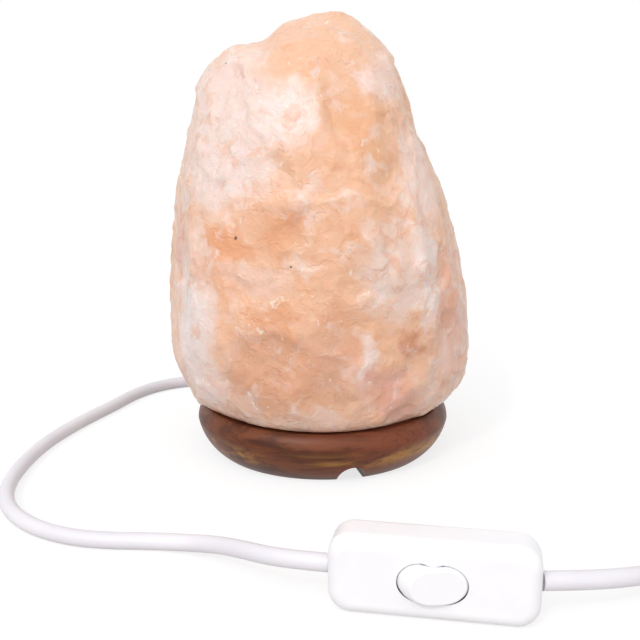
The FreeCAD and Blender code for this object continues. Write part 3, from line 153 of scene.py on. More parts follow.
cameraView = {"place": (-1.15, -397, 145), "lookDown": 12.7, "lens": 52.31, "sensor": 36.0, "nearest": 10}

camera = addObject("camera", bpy.data.cameras.new("camera"))
camera.data.lens = cameraView["lens"]
camera.data.sensor_width = cameraView["sensor"]
camera.data.clip_start = cameraView["nearest"] * mm
camera.location = metres(cameraView["place"])
camera.rotation_euler = (math.radians(90 - cameraView["lookDown"]), 0, 0)
bpy.context.scene.camera = camera


# Pale floor and white surroundings. A broad key from the front left, a broader fill from the front,
# and a small spark that makes the glints, all as suns with their turns and sizes in degrees.

studio = {"floorColour": "f4f4f5", "floorBounce": "c9c6c4", "floorLift": 0.68, "floorGlow": 1.1,
          "floorSide": 8.0, "sky": 0.60,
          "key": 0.72, "keyTurn": (40, 0, -35), "keySize": 50,
          "fill": 0.75, "fillTurn": (62, 0, 12), "fillSize": 80,
          "spark": 0.55, "sparkTurn": (48, 0, -28), "sparkSize": 5}


def seenDirectly(tree):  # 1 for the camera's own rays and for those that gloss and glass send on
    rays = addNode(tree, "ShaderNodeLightPath")
    shown = combine(tree, "MAXIMUM", rays.outputs["Is Camera Ray"], rays.outputs["Is Glossy Ray"])
    return combine(tree, "MAXIMUM", shown, rays.outputs["Is Transmission Ray"])


def setSky():
    world = bpy.data.worlds.new("studio")
    bpy.context.scene.world = world
    world.use_nodes = True
    tree = world.node_tree
    tree.nodes.clear()
    strength = ramp(tree, seenDirectly(tree), 0, 1, studio["sky"], 1.0)
    sky = addNode(tree, "ShaderNodeBackground", {"Color": fullWhite, "Strength": strength})
    output = tree.nodes.new("ShaderNodeOutputWorld")
    tree.links.new(sky.outputs["Background"], output.inputs["Surface"])


def makeFloorPaper():  # lifted towards white where it is seen, and plain where it lights the lamp
    paper = bpy.data.materials.new("floorPaper")
    paper.use_nodes = True
    tree = paper.node_tree
    tree.nodes.clear()
    kept = 1 - studio["floorLift"]
    dimColour = tuple(c * kept for c in tint(studio["floorColour"])[:3]) + (1.0,)
    matt = addNode(tree, "ShaderNodeBsdfDiffuse", {"Color": tint(studio["floorBounce"])})
    dimmed = addNode(tree, "ShaderNodeBsdfDiffuse", {"Color": dimColour})
    glow = addNode(tree, "ShaderNodeEmission", {"Color": fullWhite,
                                                "Strength": studio["floorLift"] * studio["floorGlow"]})
    lifted = addNode(tree, "ShaderNodeAddShader", {0: dimmed.outputs["BSDF"], 1: glow.outputs["Emission"]})
    choice = addNode(tree, "ShaderNodeMixShader", {0: seenDirectly(tree), 1: matt.outputs["BSDF"],
                                                   2: lifted.outputs["Shader"]})
    output = tree.nodes.new("ShaderNodeOutputMaterial")
    tree.links.new(choice.outputs["Shader"], output.inputs["Surface"])
    return paper


def setFloor():
    side = studio["floorSide"] / 2
    mesh = bpy.data.meshes.new("floor")
    mesh.from_pydata([(-side, -side, 0), (side, -side, 0), (side, side, 0), (-side, side, 0)], [],
                     [(0, 1, 2, 3)])
    mesh.materials.append(makeFloorPaper())
    addObject("floor", mesh)


def setLights():
    for name in ("key", "fill", "spark"):
        lamp = bpy.data.lights.new(name, "SUN")
        lamp.energy = studio[name]
        lamp.angle = math.radians(studio[name + "Size"])
        addObject(name, lamp).rotation_euler = [math.radians(a) for a in studio[name + "Turn"]]


setSky()
setFloor()
setLights()
bpy.context.scene.view_settings.view_transform = "Standard"
print("camera, floor and lights set")


# The lead: one stretch from the groove to the switch, one from the switch through the coil to the
# plug. Its two lengths are in metres, and the places along it, the switch's and the coil's in mm.

lead = {"radius": 2.9 * mm, "toSwitchLength": 0.398, "toPlugLength": 1.27, "sides": 6, "curveOrder": 3,
        "stepsPerPoint": 8}
sheath = {"colour": "eeebf0", "shade": "e7e4eb", "roughness": 0.42, "ior": 1.53, "milky": 0.08,
          "lightDepth": 2 * mm, "patchScale": 30, "waveScale": 60, "waveDepth": 0.1 * mm, "waveShare": 0.3}
switchPlace = {"middle": (32.4, -146.1, 12.5), "turn": -10.2, "halfLength": 31.0, "lastRun": 15.4}
coil = {"middle": (157.0, -130.0, 3.6), "radius": 42.0, "pitch": 6.35, "turns": 5.1667, "start": 150.0,
        "climbTurns": 0.5, "pointsPerTurn": 20, "lastRun": 8.0, "firstRun": 11.0}

routeToSwitch = [
    (-12.32, 50.52, 4.0), (-15.7, 64.6, 3.7), (-24.4, 77.0, 3.1), (-38.0, 85.2, 2.9), (-55.0, 87.0, 2.9),
    (-72.3, 84.2, 2.9), (-86.6, 75.4, 2.9), (-96.2, 61.0, 2.9), (-102.0, 44.0, 2.9), (-109.4, 26.5, 2.9),
    (-116.0, 8.5, 2.9), (-121.3, -11.0, 2.9), (-123.6, -32.0, 2.9), (-123.3, -53.0, 2.9),
    (-119.9, -70.0, 2.9), (-112.6, -84.3, 2.9), (-101.3, -95.9, 2.9), (-87.5, -103.4, 2.9),
    (-73.5, -106.2, 2.9), (-59.5, -106.5, 2.9), (-46.0, -108.9, 3.5), (-34.6, -115.9, 6.2),
    (-25.2, -127.3, 10.1)]
routeFromSwitch = [(75.4, -149.9, 11.7), (88.6, -145.2, 10.0), (100.0, -138.2, 7.6), (109.2, -128.4, 5.0)]
routeFromCoil = [(187.6, -90.3, 7.6), (199.6, -98.0, 4.9), (207.5, -110.2, 3.6), (210.4, -123.6, 4.6),
                 (210.5, -136.0, 6.8), (210.5, -146.0, 6.8)]


def coilPoint(turn):  # in on the lower layer, up in the middle half turn, and out on the upper layer
    radius = coil["radius"] - coil["pitch"] * min(turn, coil["turns"] - turn)
    climbStart = (coil["turns"] - coil["climbTurns"]) / 2
    climbed = min(max(turn - climbStart, 0.0), coil["climbTurns"]) / coil["climbTurns"]
    rise = coil["pitch"] * (1 - math.cos(math.pi * climbed)) / 2
    angle = math.radians(coil["start"] - 360 * turn)
    return Vector(coil["middle"]) + Vector((radius * math.cos(angle), radius * math.sin(angle), rise))


def coilHeading(turn, step=0.002):
    return (coilPoint(turn + step) - coilPoint(turn - step)).normalized()


def makeSheathFinish():
    finish, tree, shader = startFinish("whiteSheath", Roughness=sheath["roughness"], IOR=sheath["ior"],
                                       Subsurface_Weight=sheath["milky"],
                                       Subsurface_Scale=sheath["lightDepth"])
    place = objectPlace(tree)
    patchy(tree, shader, cloud(tree, place, sheath["patchScale"], 2), softEdges, sheath["colour"],
           sheath["shade"])
    bumped(tree, shader, cloud(tree, place, sheath["waveScale"], 1), sheath["waveDepth"], sheath["waveShare"])
    return finish


def layLead(name, points, replaced):
    curve = bpy.data.curves.new(name, "CURVE")
    curve.dimensions = "3D"
    spline = curve.splines.new("NURBS")
    spline.points.add(len(points) - 1)
    for knot, place in zip(spline.points, points):
        knot.co = metres(place) + [1.0]
    spline.order_u = lead["curveOrder"]
    spline.use_endpoint_u = True
    curve.resolution_u = lead["stepsPerPoint"]
    curve.bevel_depth = lead["radius"]
    curve.bevel_resolution = lead["sides"]
    curve.use_fill_caps = True
    curve.materials.append(sheathFinish)
    cord = addObject(name, curve)
    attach(cord, "lamp")
    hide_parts(*replaced)


sheathFinish = makeSheathFinish()
switchTurn = math.radians(switchPlace["turn"])
along = Vector((math.cos(switchTurn), math.sin(switchTurn), 0))
switchLeft = Vector(switchPlace["middle"]) - along * switchPlace["halfLength"]
switchRight = Vector(switchPlace["middle"]) + along * switchPlace["halfLength"]
layLead("leadToSwitch", routeToSwitch + [switchLeft - along * switchPlace["lastRun"], switchLeft],
        ["lead_to_switch"])

coilSteps = int(coil["turns"] * coil["pointsPerTurn"])
wound = [coilPoint(coil["turns"] * step / coilSteps) for step in range(coilSteps + 1)]
beforeCoil = coilPoint(0) - coilHeading(0) * coil["lastRun"]
afterCoil = coilPoint(coil["turns"]) + coilHeading(coil["turns"]) * coil["firstRun"]
layLead("leadToPlug", [switchRight] + routeFromSwitch + [beforeCoil] + wound + [afterCoil] + routeFromCoil,
        ["lead_to_coil", "lead_coil", "lead_to_plug"])
print("lead laid")


# Rock salt: cloudy peach and pink with pale veins and painted glints, facets in its gloss, and light that
# goes some way below its surface.

salt = {"peach": "eebd9b", "pale": "f3d5c9", "orange": "e6a377", "pink": "e3aa98", "white": "f3e4e0",
        "rust": "cf8a66", "tan": "d69f7e", "glint": "fbf1ea", "shell": "f1dcd5", "amber": "e8ab7a",
        "grey": "ebd2c6", "speck": "4a2e26",
        "ior": 1.5, "milky": 0.55, "lightDepth": 6 * mm, "lightSpread": (1.0, 0.5, 0.32),
        "coat": 0.40, "coatRoughness": 0.09, "roughScale": 160, "smoothest": 0.36, "roughest": 0.58,
        # The next values shape the painted glints, small bright highlights laid into the colour.
        "patchInner": 0.55, "patchOuter": 1.35, "paintedGlintLength": 0.45, "paintedGlintStrength": 0.65,
        "paintedGlintCore": 0.04, "paintedGlintEdge": 0.17, "paintedGlintFade": 0.02,
        "speckShade": 0.85, "speckInner": 0.6, "speckOuter": 1.3,
        "facetSize": 5.5 * mm, "fineFacetSize": 2.0 * mm, "fineShift": (4.1, 0.3, 2.2),
        "facetDepth": 0.55 * mm, "grainScale": 230, "grainStretch": (1, 1, 0.8), "grain": 1.6,
        "grainFacets": 0.5, "bump": 0.55, "coatBump": 0.9}
saltDrifts = [(70, 2, 0.45, 18), (240, 3, 0.5, 8)]  # scale, detail, roughness, reach in mm
saltClouds = [  # scale, detail, shift, where the cloud starts and is full, strength, colour
    (30, 3, (0, 0, 0), 0.46, 0.70, 0.70, "pale"),
    (38, 4, (3, 1, 2), 0.54, 0.74, 0.55, "orange"),
    (24, 3, (1, 5, 4), 0.56, 0.74, 0.45, "pink")]
saltPatches = [  # centre and radii in mm, lean to the right in degrees, colour, strength
    ((-35, -28, 148), (21, 34, 30), 8, "shell", 0.85),
    ((-13, -43, 145), (12, 15, 12), 0, "white", 0.7),
    ((-36, -40, 122), (20, 22, 17), 0, "shell", 0.8),
    ((-2, -24, 166), (26, 24, 12), -10, "peach", 0.9),
    ((23, -28, 156), (8, 18, 13), 30, "pale", 0.75),
    ((13, -42, 144), (18, 14, 7), 0, "amber", 0.5),
    ((19, -46, 131), (9, 12, 9), 25, "amber", 0.55),
    ((37, -30, 122), (10, 16, 20), -15, "pale", 0.85),
    ((8, -54, 110), (21, 14, 17), 20, "peach", 0.75),
    ((-30, -48, 104), (22, 12, 8), 5, "peach", 0.7),
    ((-37, -46, 96), (12, 13, 8), 0, "orange", 0.9),
    ((-16, -52, 101), (7, 12, 9), 25, "orange", 0.6),
    ((-58, -16, 92), (7, 14, 14), 0, "pink", 0.6),
    ((-52, -35, 62), (12, 20, 21), 12, "white", 0.9),
    ((-46, -36, 38), (12, 16, 12), 10, "shell", 0.85),
    ((-24, -52, 82), (15, 10, 7), 10, "pale", 0.45),
    ((-18, -55, 67), (10, 10, 5), 5, "orange", 0.7),
    ((-14, -57, 48), (28, 14, 17), 0, "tan", 0.85),
    ((26, -50, 84), (15, 12, 17), 0, "grey", 0.85),
    ((17, -56, 50), (3.2, 9, 10), 12, "white", 0.7),
    ((33, -49, 56), (7, 9, 6), 40, "rust", 0.75),
    ((26, -48, 35), (16, 14, 9), 45, "pink", 0.8),
    ((52, -28, 68), (11, 24, 34), 0, "pink", 0.5),
    ((40, -44, 84), (4.0, 10, 24), -8, "white", 0.75),
    ((46, -38, 44), (9, 14, 13), 0, "pale", 0.55),
    ((-6, -54, 27), (15, 12, 5), 0, "pale", 0.6),
    ((8, -56, 66), (12, 12, 12), 20, "tan", 0.35)]
saltVeins = [  # as the clouds, but laid over the patches
    (100, 4, (2, 2, 6), 0.50, 0.72, 0.50, "white"),
    (130, 4, (5, 0, 1), 0.52, 0.70, 0.42, "orange")]
saltStains = [(260, 3, (7, 2, 0), 0.60, 0.75, 0.22, "rust")]  # as the clouds, but without the drifts
# Painted glints: small bright highlights laid into the rock's colour.
saltPaintedGlints = [(4.5, 20, 0.22), (3.0, -35, 0.18), (6.5, 60, 0.22)]  # size in mm, turn in degrees, share
saltSpecks = [  # centre and radius in mm
    ((-33, -47.6, 98), 0.75), ((-12, -54.4, 88), 0.45), ((-7.5, -11.8, 180), 0.9), ((-38, -19, 163), 0.5)]
facetForm = {"lean": 2.6, "hollow": 0.9, "stirScale": 1.3, "stir": 0.9, "sharp": 0.16, "worn": 0.35}


def facets(tree, unit, soft):  # every cell is a small flat with a lean of its own
    stirredUnit = stirred(tree, unit, unit, facetForm["stirScale"], 2, 0.5, facetForm["stir"])
    cells = addNode(tree, "ShaderNodeTexVoronoi", {"Vector": stirredUnit, "Scale": 1.0, "Smoothness": soft},
                    feature="SMOOTH_F1")
    side = combineVectors(tree, "SUBTRACT", cells.outputs["Color"], (0.5, 0.5, 0.5))
    fromMiddle = combineVectors(tree, "SUBTRACT", unit, cells.outputs["Position"])
    tilt = combineVectors(tree, "DOT_PRODUCT", side, fromMiddle, "Value")
    bowl = combine(tree, "MULTIPLY", cells.outputs["Distance"], cells.outputs["Distance"])
    return combine(tree, "ADD", combine(tree, "MULTIPLY", tilt, facetForm["lean"]),
                   combine(tree, "MULTIPLY", bowl, facetForm["hollow"]))


def addClouds(tree, place, colour, rows):
    for scale, detail, shift, low, high, strength, name in rows:
        field = cloud(tree, stretched(tree, place, shift=shift), scale, detail)
        colour = mixed(tree, ramp(tree, field, low, high, 0, strength), colour, tint(salt[name]))
    return colour


def addPatches(tree, warped, colour):
    for centre, radii, lean, name, strength in saltPatches:
        local = addNode(tree, "ShaderNodeMapping", {"Vector": warped, "Location": metres(centre),
                                                    "Rotation": (0, math.radians(lean), 0),
                                                    "Scale": metres(radii)},
                        vector_type="TEXTURE").outputs["Vector"]
        reach = addNode(tree, "ShaderNodeVectorMath", {0: local}, operation="LENGTH").outputs["Value"]
        share = ramp(tree, reach, salt["patchInner"], salt["patchOuter"], strength, 0.0)
        colour = mixed(tree, share, colour, tint(salt[name]))
    return colour


def addPaintedGlints(tree, warped, colour):  # painted glints: small bright highlights laid into the colour, some of them long
    for size, turn, share in saltPaintedGlints:
        local = stretched(tree, warped, (1, 1, salt["paintedGlintLength"]), (0, math.radians(turn), 0))
        cells = addNode(tree, "ShaderNodeTexVoronoi", {"Vector": scaled(tree, local, 1 / (size * mm)),
                                                       "Scale": 1.0, "Randomness": 1.0})
        chosen = addNode(tree, "ShaderNodeSeparateXYZ", {"Vector": cells.outputs["Color"]}).outputs["X"]
        bright = ramp(tree, cells.outputs["Distance"], salt["paintedGlintCore"], salt["paintedGlintEdge"],
                      salt["paintedGlintStrength"], 0.0)
        paintedGlint = combine(tree, "MULTIPLY", bright,
                       ramp(tree, chosen, 1 - share, 1 - share + salt["paintedGlintFade"]))
        colour = mixed(tree, paintedGlint, colour, tint(salt["glint"]))
    return colour


def addSpecks(tree, place, colour):
    for centre, radius in saltSpecks:
        away = combineVectors(tree, "DISTANCE", place, metres(centre), "Value")
        share = ramp(tree, away, radius * mm * salt["speckInner"], radius * mm * salt["speckOuter"],
                     salt["speckShade"], 0.0)
        colour = mixed(tree, share, colour, tint(salt["speck"]))
    return colour


def makeSaltFinish():
    finish, tree, shader = startFinish(
        "rockSalt", IOR=salt["ior"], Subsurface_Weight=salt["milky"], Subsurface_Scale=salt["lightDepth"],
        Subsurface_Radius=salt["lightSpread"], Coat_Weight=salt["coat"],
        Coat_Roughness=salt["coatRoughness"])
    place = objectPlace(tree)
    warped = place
    for scale, detail, rough, reach in saltDrifts:
        warped = stirred(tree, warped, place, scale, detail, rough, reach * mm)
    colour = addClouds(tree, warped, tint(salt["peach"]), saltClouds)
    colour = addPatches(tree, warped, colour)
    colour = addClouds(tree, warped, colour, saltVeins)
    # Painted highlights: the glints go into the colour itself.
    colour = addPaintedGlints(tree, warped, colour)
    colour = addClouds(tree, place, colour, saltStains)
    tree.links.new(addSpecks(tree, place, colour), shader.inputs["Base Color"])
    roughened(tree, shader, cloud(tree, place, salt["roughScale"], 4, 0.6), firmEdges,
              salt["smoothest"], salt["roughest"])

    flats = facets(tree, scaled(tree, warped, 1 / salt["facetSize"]), facetForm["worn"])
    grain = cloud(tree, stretched(tree, warped, salt["grainStretch"]), salt["grainScale"], 4, 0.55)
    grain = combine(tree, "ADD", combine(tree, "MULTIPLY", grain, salt["grain"]),
                    combine(tree, "MULTIPLY", flats, salt["grainFacets"]))
    bumped(tree, shader, grain, salt["facetDepth"], salt["bump"])
    fineUnit = stretched(tree, place, (1 / salt["fineFacetSize"],) * 3, shift=salt["fineShift"])
    fine = combine(tree, "MULTIPLY", facets(tree, fineUnit, facetForm["sharp"]),
                   salt["fineFacetSize"] / salt["facetSize"])
    bumped(tree, shader, combine(tree, "ADD", flats, fine), salt["facetDepth"], salt["coatBump"],
           "Coat Normal")
    return finish


# The rock: the plain hewn form, made again in small faces, with ridges, chips and grain.

rock = {"joinWithin": 0.005 * mm, "voxel": 1.25 * mm, "soften": 0.5, "softenRounds": 2,
        "chipSize": 21 * mm, "chipDepth": 1.0 * mm, "chipShift": (3.1, 0.4, 7.7),
        "smallChipSize": 8 * mm, "smallChipDepth": 0.42 * mm, "smallChipShift": (0.6, 5.2, 1.9),
        "grainSize": 3.6 * mm, "grainDepth": 0.16 * mm,
        "seat": 21 * mm, "boreRadius": 24.5 * mm, "boreTop": 132 * mm, "blendHeight": 4 * mm}
reliefInputs = {"Chip Size": "chipSize", "Chip Depth": "chipDepth", "Small Chip Size": "smallChipSize",
                "Small Chip Depth": "smallChipDepth", "Grain Size": "grainSize", "Grain Depth": "grainDepth"}
ridges = [  # from, to, half width and height in mm; a negative height is a furrow
    ((34, -44, 110), (38, -46, 86), 4.0, 1.3), ((38, -46, 86), (43, -44, 60), 4.5, 1.2),
    ((-24, -36, 158), (-2, -39, 156), 3.0, 0.9), ((-2, -40, 156), (-1, -46, 136), 2.5, 0.8),
    ((3, -40, 155), (4, -46, 136), 3.0, -0.8), ((-22, -33, 163), (-2, -35, 161), 3.0, -0.8),
    ((14, -54, 30), (34, -48, 48), 3.0, -0.9), ((20, -51, 27), (41, -43, 46), 2.6, 0.8),
    ((27, -48, 26), (45, -38, 40), 2.6, -0.8), ((12, -56, 40), (19, -56, 62), 3.0, 0.8),
    ((-45, -40, 88), (-38, -46, 66), 3.0, -0.9), ((-40, -44, 86), (-31, -49, 62), 3.0, 0.7),
    ((-34, -22, 165), (-20, -28, 158), 3.0, 0.8), ((22, -46, 118), (34, -38, 132), 3.5, -0.9),
    ((-30, -46, 108), (-8, -52, 112), 3.5, 0.7), ((46, -38, 66), (56, -26, 44), 3.5, -1.0),
    ((-27, -26, 172), (-24, 16, 178), 8.0, -3.6), ((-10, -22, 181), (-8, 12, 184), 8.0, -1.8),
    ((36, -16, 140), (44, 10, 128), 6.0, -1.2), ((-47, -30, 140), (-52, -24, 118), 5.0, 0.8)]


def copyOfNode(name):  # a CAD node's mesh with its loose triangles joined
    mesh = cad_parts[name].data.copy()
    shape = bmesh.new()
    shape.from_mesh(mesh)
    bmesh.ops.remove_doubles(shape, verts=shape.verts, dist=rock["joinWithin"])
    shape.to_mesh(mesh)
    shape.free()
    mesh.materials.clear()
    return mesh


def plainMesh(worker):  # the evaluated object as a mesh of its own, with its modifiers gone
    graph = bpy.context.evaluated_depsgraph_get()
    mesh = bpy.data.meshes.new_from_object(worker.evaluated_get(graph))
    worker.modifiers.clear()
    return mesh


def reliefTree(finish):  # chips of two sizes and a grain, along the surface's own normals
    tree = bpy.data.node_groups.new("hewnRelief", "GeometryNodeTree")
    face = tree.interface
    face.new_socket("Geometry", in_out="INPUT", socket_type="NodeSocketGeometry")
    for name in reliefInputs:
        face.new_socket(name, in_out="INPUT", socket_type="NodeSocketFloat")
    face.new_socket("Geometry", in_out="OUTPUT", socket_type="NodeSocketGeometry")
    given = tree.nodes.new("NodeGroupInput").outputs
    result = tree.nodes.new("NodeGroupOutput")
    position = addNode(tree, "GeometryNodeInputPosition").outputs["Position"]
    normal = addNode(tree, "GeometryNodeInputNormal").outputs["Normal"]
    weight = addNode(tree, "GeometryNodeInputNamedAttribute", {"Name": "relief"},
                     data_type="FLOAT").outputs[0]

    def inUnits(size):  # the position counted in this size
        return scaled(tree, position, combine(tree, "DIVIDE", 1.0, size))

    def chips(size, depth, shift):
        unit = combineVectors(tree, "ADD", inUnits(size), shift)
        return combine(tree, "MULTIPLY", facets(tree, unit, facetForm["worn"]), depth)

    large = chips(given["Chip Size"], given["Chip Depth"], rock["chipShift"])
    small = chips(given["Small Chip Size"], given["Small Chip Depth"], rock["smallChipShift"])
    grain = combine(tree, "SUBTRACT", cloud(tree, inUnits(given["Grain Size"]), 1.0, 3, 0.6), 0.5)
    grain = combine(tree, "MULTIPLY", grain, combine(tree, "MULTIPLY", given["Grain Depth"], 2.0))
    height = combine(tree, "ADD", combine(tree, "ADD", large, small), grain)
    offset = scaled(tree, normal, combine(tree, "MULTIPLY", height, weight))
    moved = addNode(tree, "GeometryNodeSetPosition", {"Geometry": given["Geometry"], "Offset": offset})
    real = addNode(tree, "GeometryNodeRealizeInstances", {"Geometry": moved.outputs["Geometry"]})
    painted = addNode(tree, "GeometryNodeSetMaterial", {"Geometry": real.outputs["Geometry"],
                                                        "Material": finish})
    tree.links.new(painted.outputs["Geometry"], result.inputs["Geometry"])
    return tree


def setInput(modifier, name, value):
    for item in modifier.node_group.interface.items_tree:
        if item.item_type == "SOCKET" and item.in_out == "INPUT" and item.name == name:
            modifier[item.identifier] = value


def smallFaces(worker):
    remesh = worker.modifiers.new("smallFaces", "REMESH")
    remesh.mode = "VOXEL"
    remesh.voxel_size = rock["voxel"]
    soften = worker.modifiers.new("soften", "SMOOTH")
    soften.factor = rock["soften"]
    soften.iterations = rock["softenRounds"]
    return plainMesh(worker)


def reliefShare(points):  # 0 in the bore and on the seat, and 1 from a little above the seat
    across = np.hypot(points[:, 0], points[:, 1])
    inBore = (across < rock["boreRadius"]) & (points[:, 2] < rock["boreTop"])
    rise = np.clip((points[:, 2] - rock["seat"]) / rock["blendHeight"], 0, 1)
    return np.where(inBore, 0.0, rise * rise * (3 - 2 * rise))


def raiseRidges(points, normals, share):
    for start, end, halfWidth, height in ridges:
        a, b = np.array(start) * mm, np.array(end) * mm
        run = np.clip(((points - a) @ (b - a)) / ((b - a) @ (b - a)), 0, 1)
        away = np.linalg.norm(points - (a + run[:, None] * (b - a)), axis=1)
        lift = height * mm * np.exp(-(away / (halfWidth * mm)) ** 2) * share
        points += normals * lift[:, None]


def makeRock(finish):
    worker = addObject("rockWork", copyOfNode("salt_crystal"))
    mesh = smallFaces(worker)
    worker.data = mesh
    points = np.empty((len(mesh.vertices), 3))
    normals = np.empty_like(points)
    mesh.vertices.foreach_get("co", points.reshape(-1))
    mesh.vertices.foreach_get("normal", normals.reshape(-1))
    share = reliefShare(points)
    raiseRidges(points, normals, share)
    mesh.vertices.foreach_set("co", points.reshape(-1))
    mesh.attributes.new("relief", "FLOAT", "POINT").data.foreach_set("value", share.astype(np.float32))

    relief = worker.modifiers.new("hewnRelief", "NODES")
    relief.node_group = reliefTree(finish)
    for name, key in reliefInputs.items():
        setInput(relief, name, rock[key])
    mesh = plainMesh(worker)
    bpy.data.objects.remove(worker)
    mesh.vertices.foreach_get("co", points.reshape(-1))
    low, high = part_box("salt_crystal")  # nothing of the relief stands out of the CAD piece's box
    points[:] = np.clip(points, np.array(low), np.array(high))
    mesh.vertices.foreach_set("co", points.reshape(-1))
    mesh.attributes.remove(mesh.attributes["relief"])
    mesh.shade_smooth()
    mesh.update()
    piece = addObject("saltCrystal", mesh)
    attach(piece, "lamp")
    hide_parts("salt_crystal")
    print("rock made,", len(mesh.polygons), "faces")


makeRock(makeSaltFinish())


# Stained wood of the turned base: grain from side to side under a satin lacquer, and golden grain in a band
# low on its rim that is partly painted highlight, where the lacquer's sheen falls, between the heights where
# it starts, is full, and ends, in mm.

wood = {"dark": "4a2413", "middle": "754126", "red": "82432b", "gold": "b07c3e",
        "roughness": 0.42, "ior": 1.45, "shine": 0.28, "lacquer": 0.06, "lacquerRoughness": 0.25,
        "grainTurn": 1.5, "bandStretch": (0.09, 0.7, 1.0), "bandScale": 190, "bandEdges": (0.36, 0.62),
        "goldScale": 120, "goldEdges": (0.44, 0.60), "goldSheenBand": (4, 9, 15),
        "broadStretch": (0.25, 0.5, 1.0), "broadScale": 60, "broadEdges": (0.45, 0.65), "redShare": 0.7,
        "streakStretch": (0.04, 0.8, 1.0), "streakScale": 800, "streakEdges": (0.52, 0.68),
        "streakShare": 0.55, "poreDepth": 0.12 * mm, "poreShare": 0.35}


def makeWoodFinish():
    finish, tree, shader = startFinish("stainedWood", Roughness=wood["roughness"], IOR=wood["ior"],
                                       Specular_IOR_Level=wood["shine"], Coat_Weight=wood["lacquer"],
                                       Coat_Roughness=wood["lacquerRoughness"])
    place = objectPlace(tree)
    board = stretched(tree, place, wood["bandStretch"], (0, math.radians(wood["grainTurn"]), 0))
    bands = ramp(tree, cloud(tree, board, wood["bandScale"], 5, 0.6, 0.4), *wood["bandEdges"])
    broad = cloud(tree, stretched(tree, place, wood["broadStretch"]), wood["broadScale"], 3)
    reddened = ramp(tree, broad, *wood["broadEdges"], 0, wood["redShare"])
    height = addNode(tree, "ShaderNodeSeparateXYZ", {"Vector": place}).outputs["Z"]
    # Painted highlight: the golden grain shows only in this low band, where the lacquer's sheen falls on the
    # rim's lower curve.
    start, full, end = metres(wood["goldSheenBand"])
    paintedSheenShare = combine(tree, "MULTIPLY", ramp(tree, height, start, full),
                    ramp(tree, height, full, end, 1.0, 0.0))
    golden = ramp(tree, cloud(tree, board, wood["goldScale"], 4, 0.6), *wood["goldEdges"])
    streaks = cloud(tree, stretched(tree, place, wood["streakStretch"]), wood["streakScale"], 4, 0.65)
    darkened = ramp(tree, streaks, *wood["streakEdges"], 0, wood["streakShare"])

    colour = mixed(tree, bands, tint(wood["dark"]), tint(wood["middle"]))
    colour = mixed(tree, reddened, colour, tint(wood["red"]))
    colour = mixed(tree, combine(tree, "MULTIPLY", golden, paintedSheenShare), colour, tint(wood["gold"]))
    colour = mixed(tree, darkened, colour, tint(wood["dark"]))
    tree.links.new(colour, shader.inputs["Base Color"])
    bumped(tree, shader, streaks, wood["poreDepth"], wood["poreShare"])
    return finish


# Plain finishes of the smaller pieces, each with the slight unevenness of its kind. A row gives the
# finish's name, its two near colours and its roughness, by the slot that it fills.

moulded = {"patchScale": 90, "roughScale": 160, "roughSpread": 0.05, "grainScale": 700,
           "grainDepth": 0.03 * mm, "grainShare": 0.4, "ior": 1.5}
mouldedRows = {
    "switch_plastic": ("switchWhite", "fcfbfe", "f9f8fc", 0.34),
    "plug_plastic": ("plugWhite", "f0eff1", "ebeaed", 0.45),
    "tie_white": ("tieWhite", "e6e6e8", "dcdcdf", 0.4),
    "holder_plastic": ("holderWhite", "ecebe6", "e4e2dc", 0.45),
    "grey_nylon": ("greyNylon", "8f9092", "858688", 0.5),
    "sleeve_black": ("sleeveBlack", "1d1d1e", "262627", 0.45),
    "core_insulation": ("coreBrown", "5e4332", "543a2b", 0.4),
    "black_glass": ("blackGlass", "101012", "1a1a1d", 0.12)}
metal = {"patchScale": 240, "roughScale": 500, "roughSpread": 0.14, "brushScale": 600, "brushFineness": 8,
         "brushDepth": 0.02 * mm, "brushShare": 0.3}
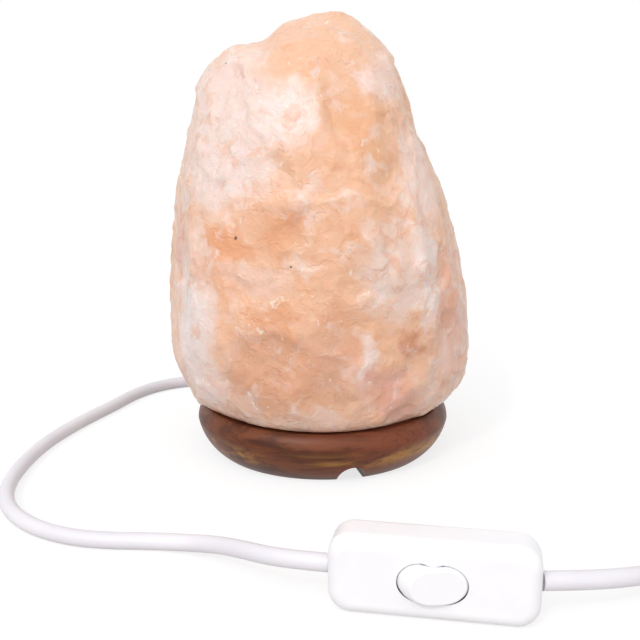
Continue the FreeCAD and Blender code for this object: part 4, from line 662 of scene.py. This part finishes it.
metalRows = {
    "zinc_steel": ("zincSteel", "c9c9c6", "b2b3b2", 0.28),
    "spring_steel": ("springSteel", "b9bab9", "a3a5a7", 0.22),
    "brass": ("brass", "d2b06a", "bb9650", 0.25),
    "nickel": ("nickel", "d4d2cc", "c2c0ba", 0.14),
    "tungsten": ("tungsten", "6f6f70", "5c5c5e", 0.4)}
glass = {"ior": 1.5, "haze": 0.03, "hazeScale": 200, "waveScale": 120, "waveDepth": 0.05 * mm,
         "waveShare": 0.2}


def makeMoulded(name, colour, shade, roughness):
    finish, tree, shader = startFinish(name, IOR=moulded["ior"])
    place = objectPlace(tree)
    patchy(tree, shader, cloud(tree, place, moulded["patchScale"], 3), firmEdges, colour, shade)
    roughened(tree, shader, cloud(tree, place, moulded["roughScale"], 2), softEdges,
              roughness - moulded["roughSpread"], roughness + moulded["roughSpread"])
    bumped(tree, shader, cloud(tree, place, moulded["grainScale"], 3), moulded["grainDepth"],
           moulded["grainShare"])
    return finish


def makeMetal(name, colour, shade, roughness):
    finish, tree, shader = startFinish(name, Metallic=1.0)
    place = objectPlace(tree)
    patchy(tree, shader, cloud(tree, place, metal["patchScale"], 4), firmEdges, colour, shade)
    roughened(tree, shader, cloud(tree, place, metal["roughScale"], 3), softEdges, roughness,
              roughness + metal["roughSpread"])
    brushed = stretched(tree, place, (1, 1, metal["brushFineness"]))
    bumped(tree, shader, cloud(tree, brushed, metal["brushScale"], 3), metal["brushDepth"],
           metal["brushShare"])
    return finish


def makeGlass():
    finish, tree, shader = startFinish("clearGlass", IOR=glass["ior"], Transmission_Weight=1.0,
                                       Base_Color=fullWhite)
    place = objectPlace(tree)
    roughened(tree, shader, cloud(tree, place, glass["hazeScale"], 3), softEdges, 0.0, glass["haze"])
    bumped(tree, shader, cloud(tree, place, glass["waveScale"], 2), glass["waveDepth"], glass["waveShare"])
    return finish


finishes = {"stained_wood": makeWoodFinish(), "lead_sheath": sheathFinish, "clear_glass": makeGlass()}
finishes.update({slot: makeMoulded(*row) for slot, row in mouldedRows.items()})
finishes.update({slot: makeMetal(*row) for slot, row in metalRows.items()})

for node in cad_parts.values():
    slotName = node.material_slots[0].material.name.split(".")[0]
    if slotName in finishes:
        node.material_slots[0].material = finishes[slotName]
print("finishes set")
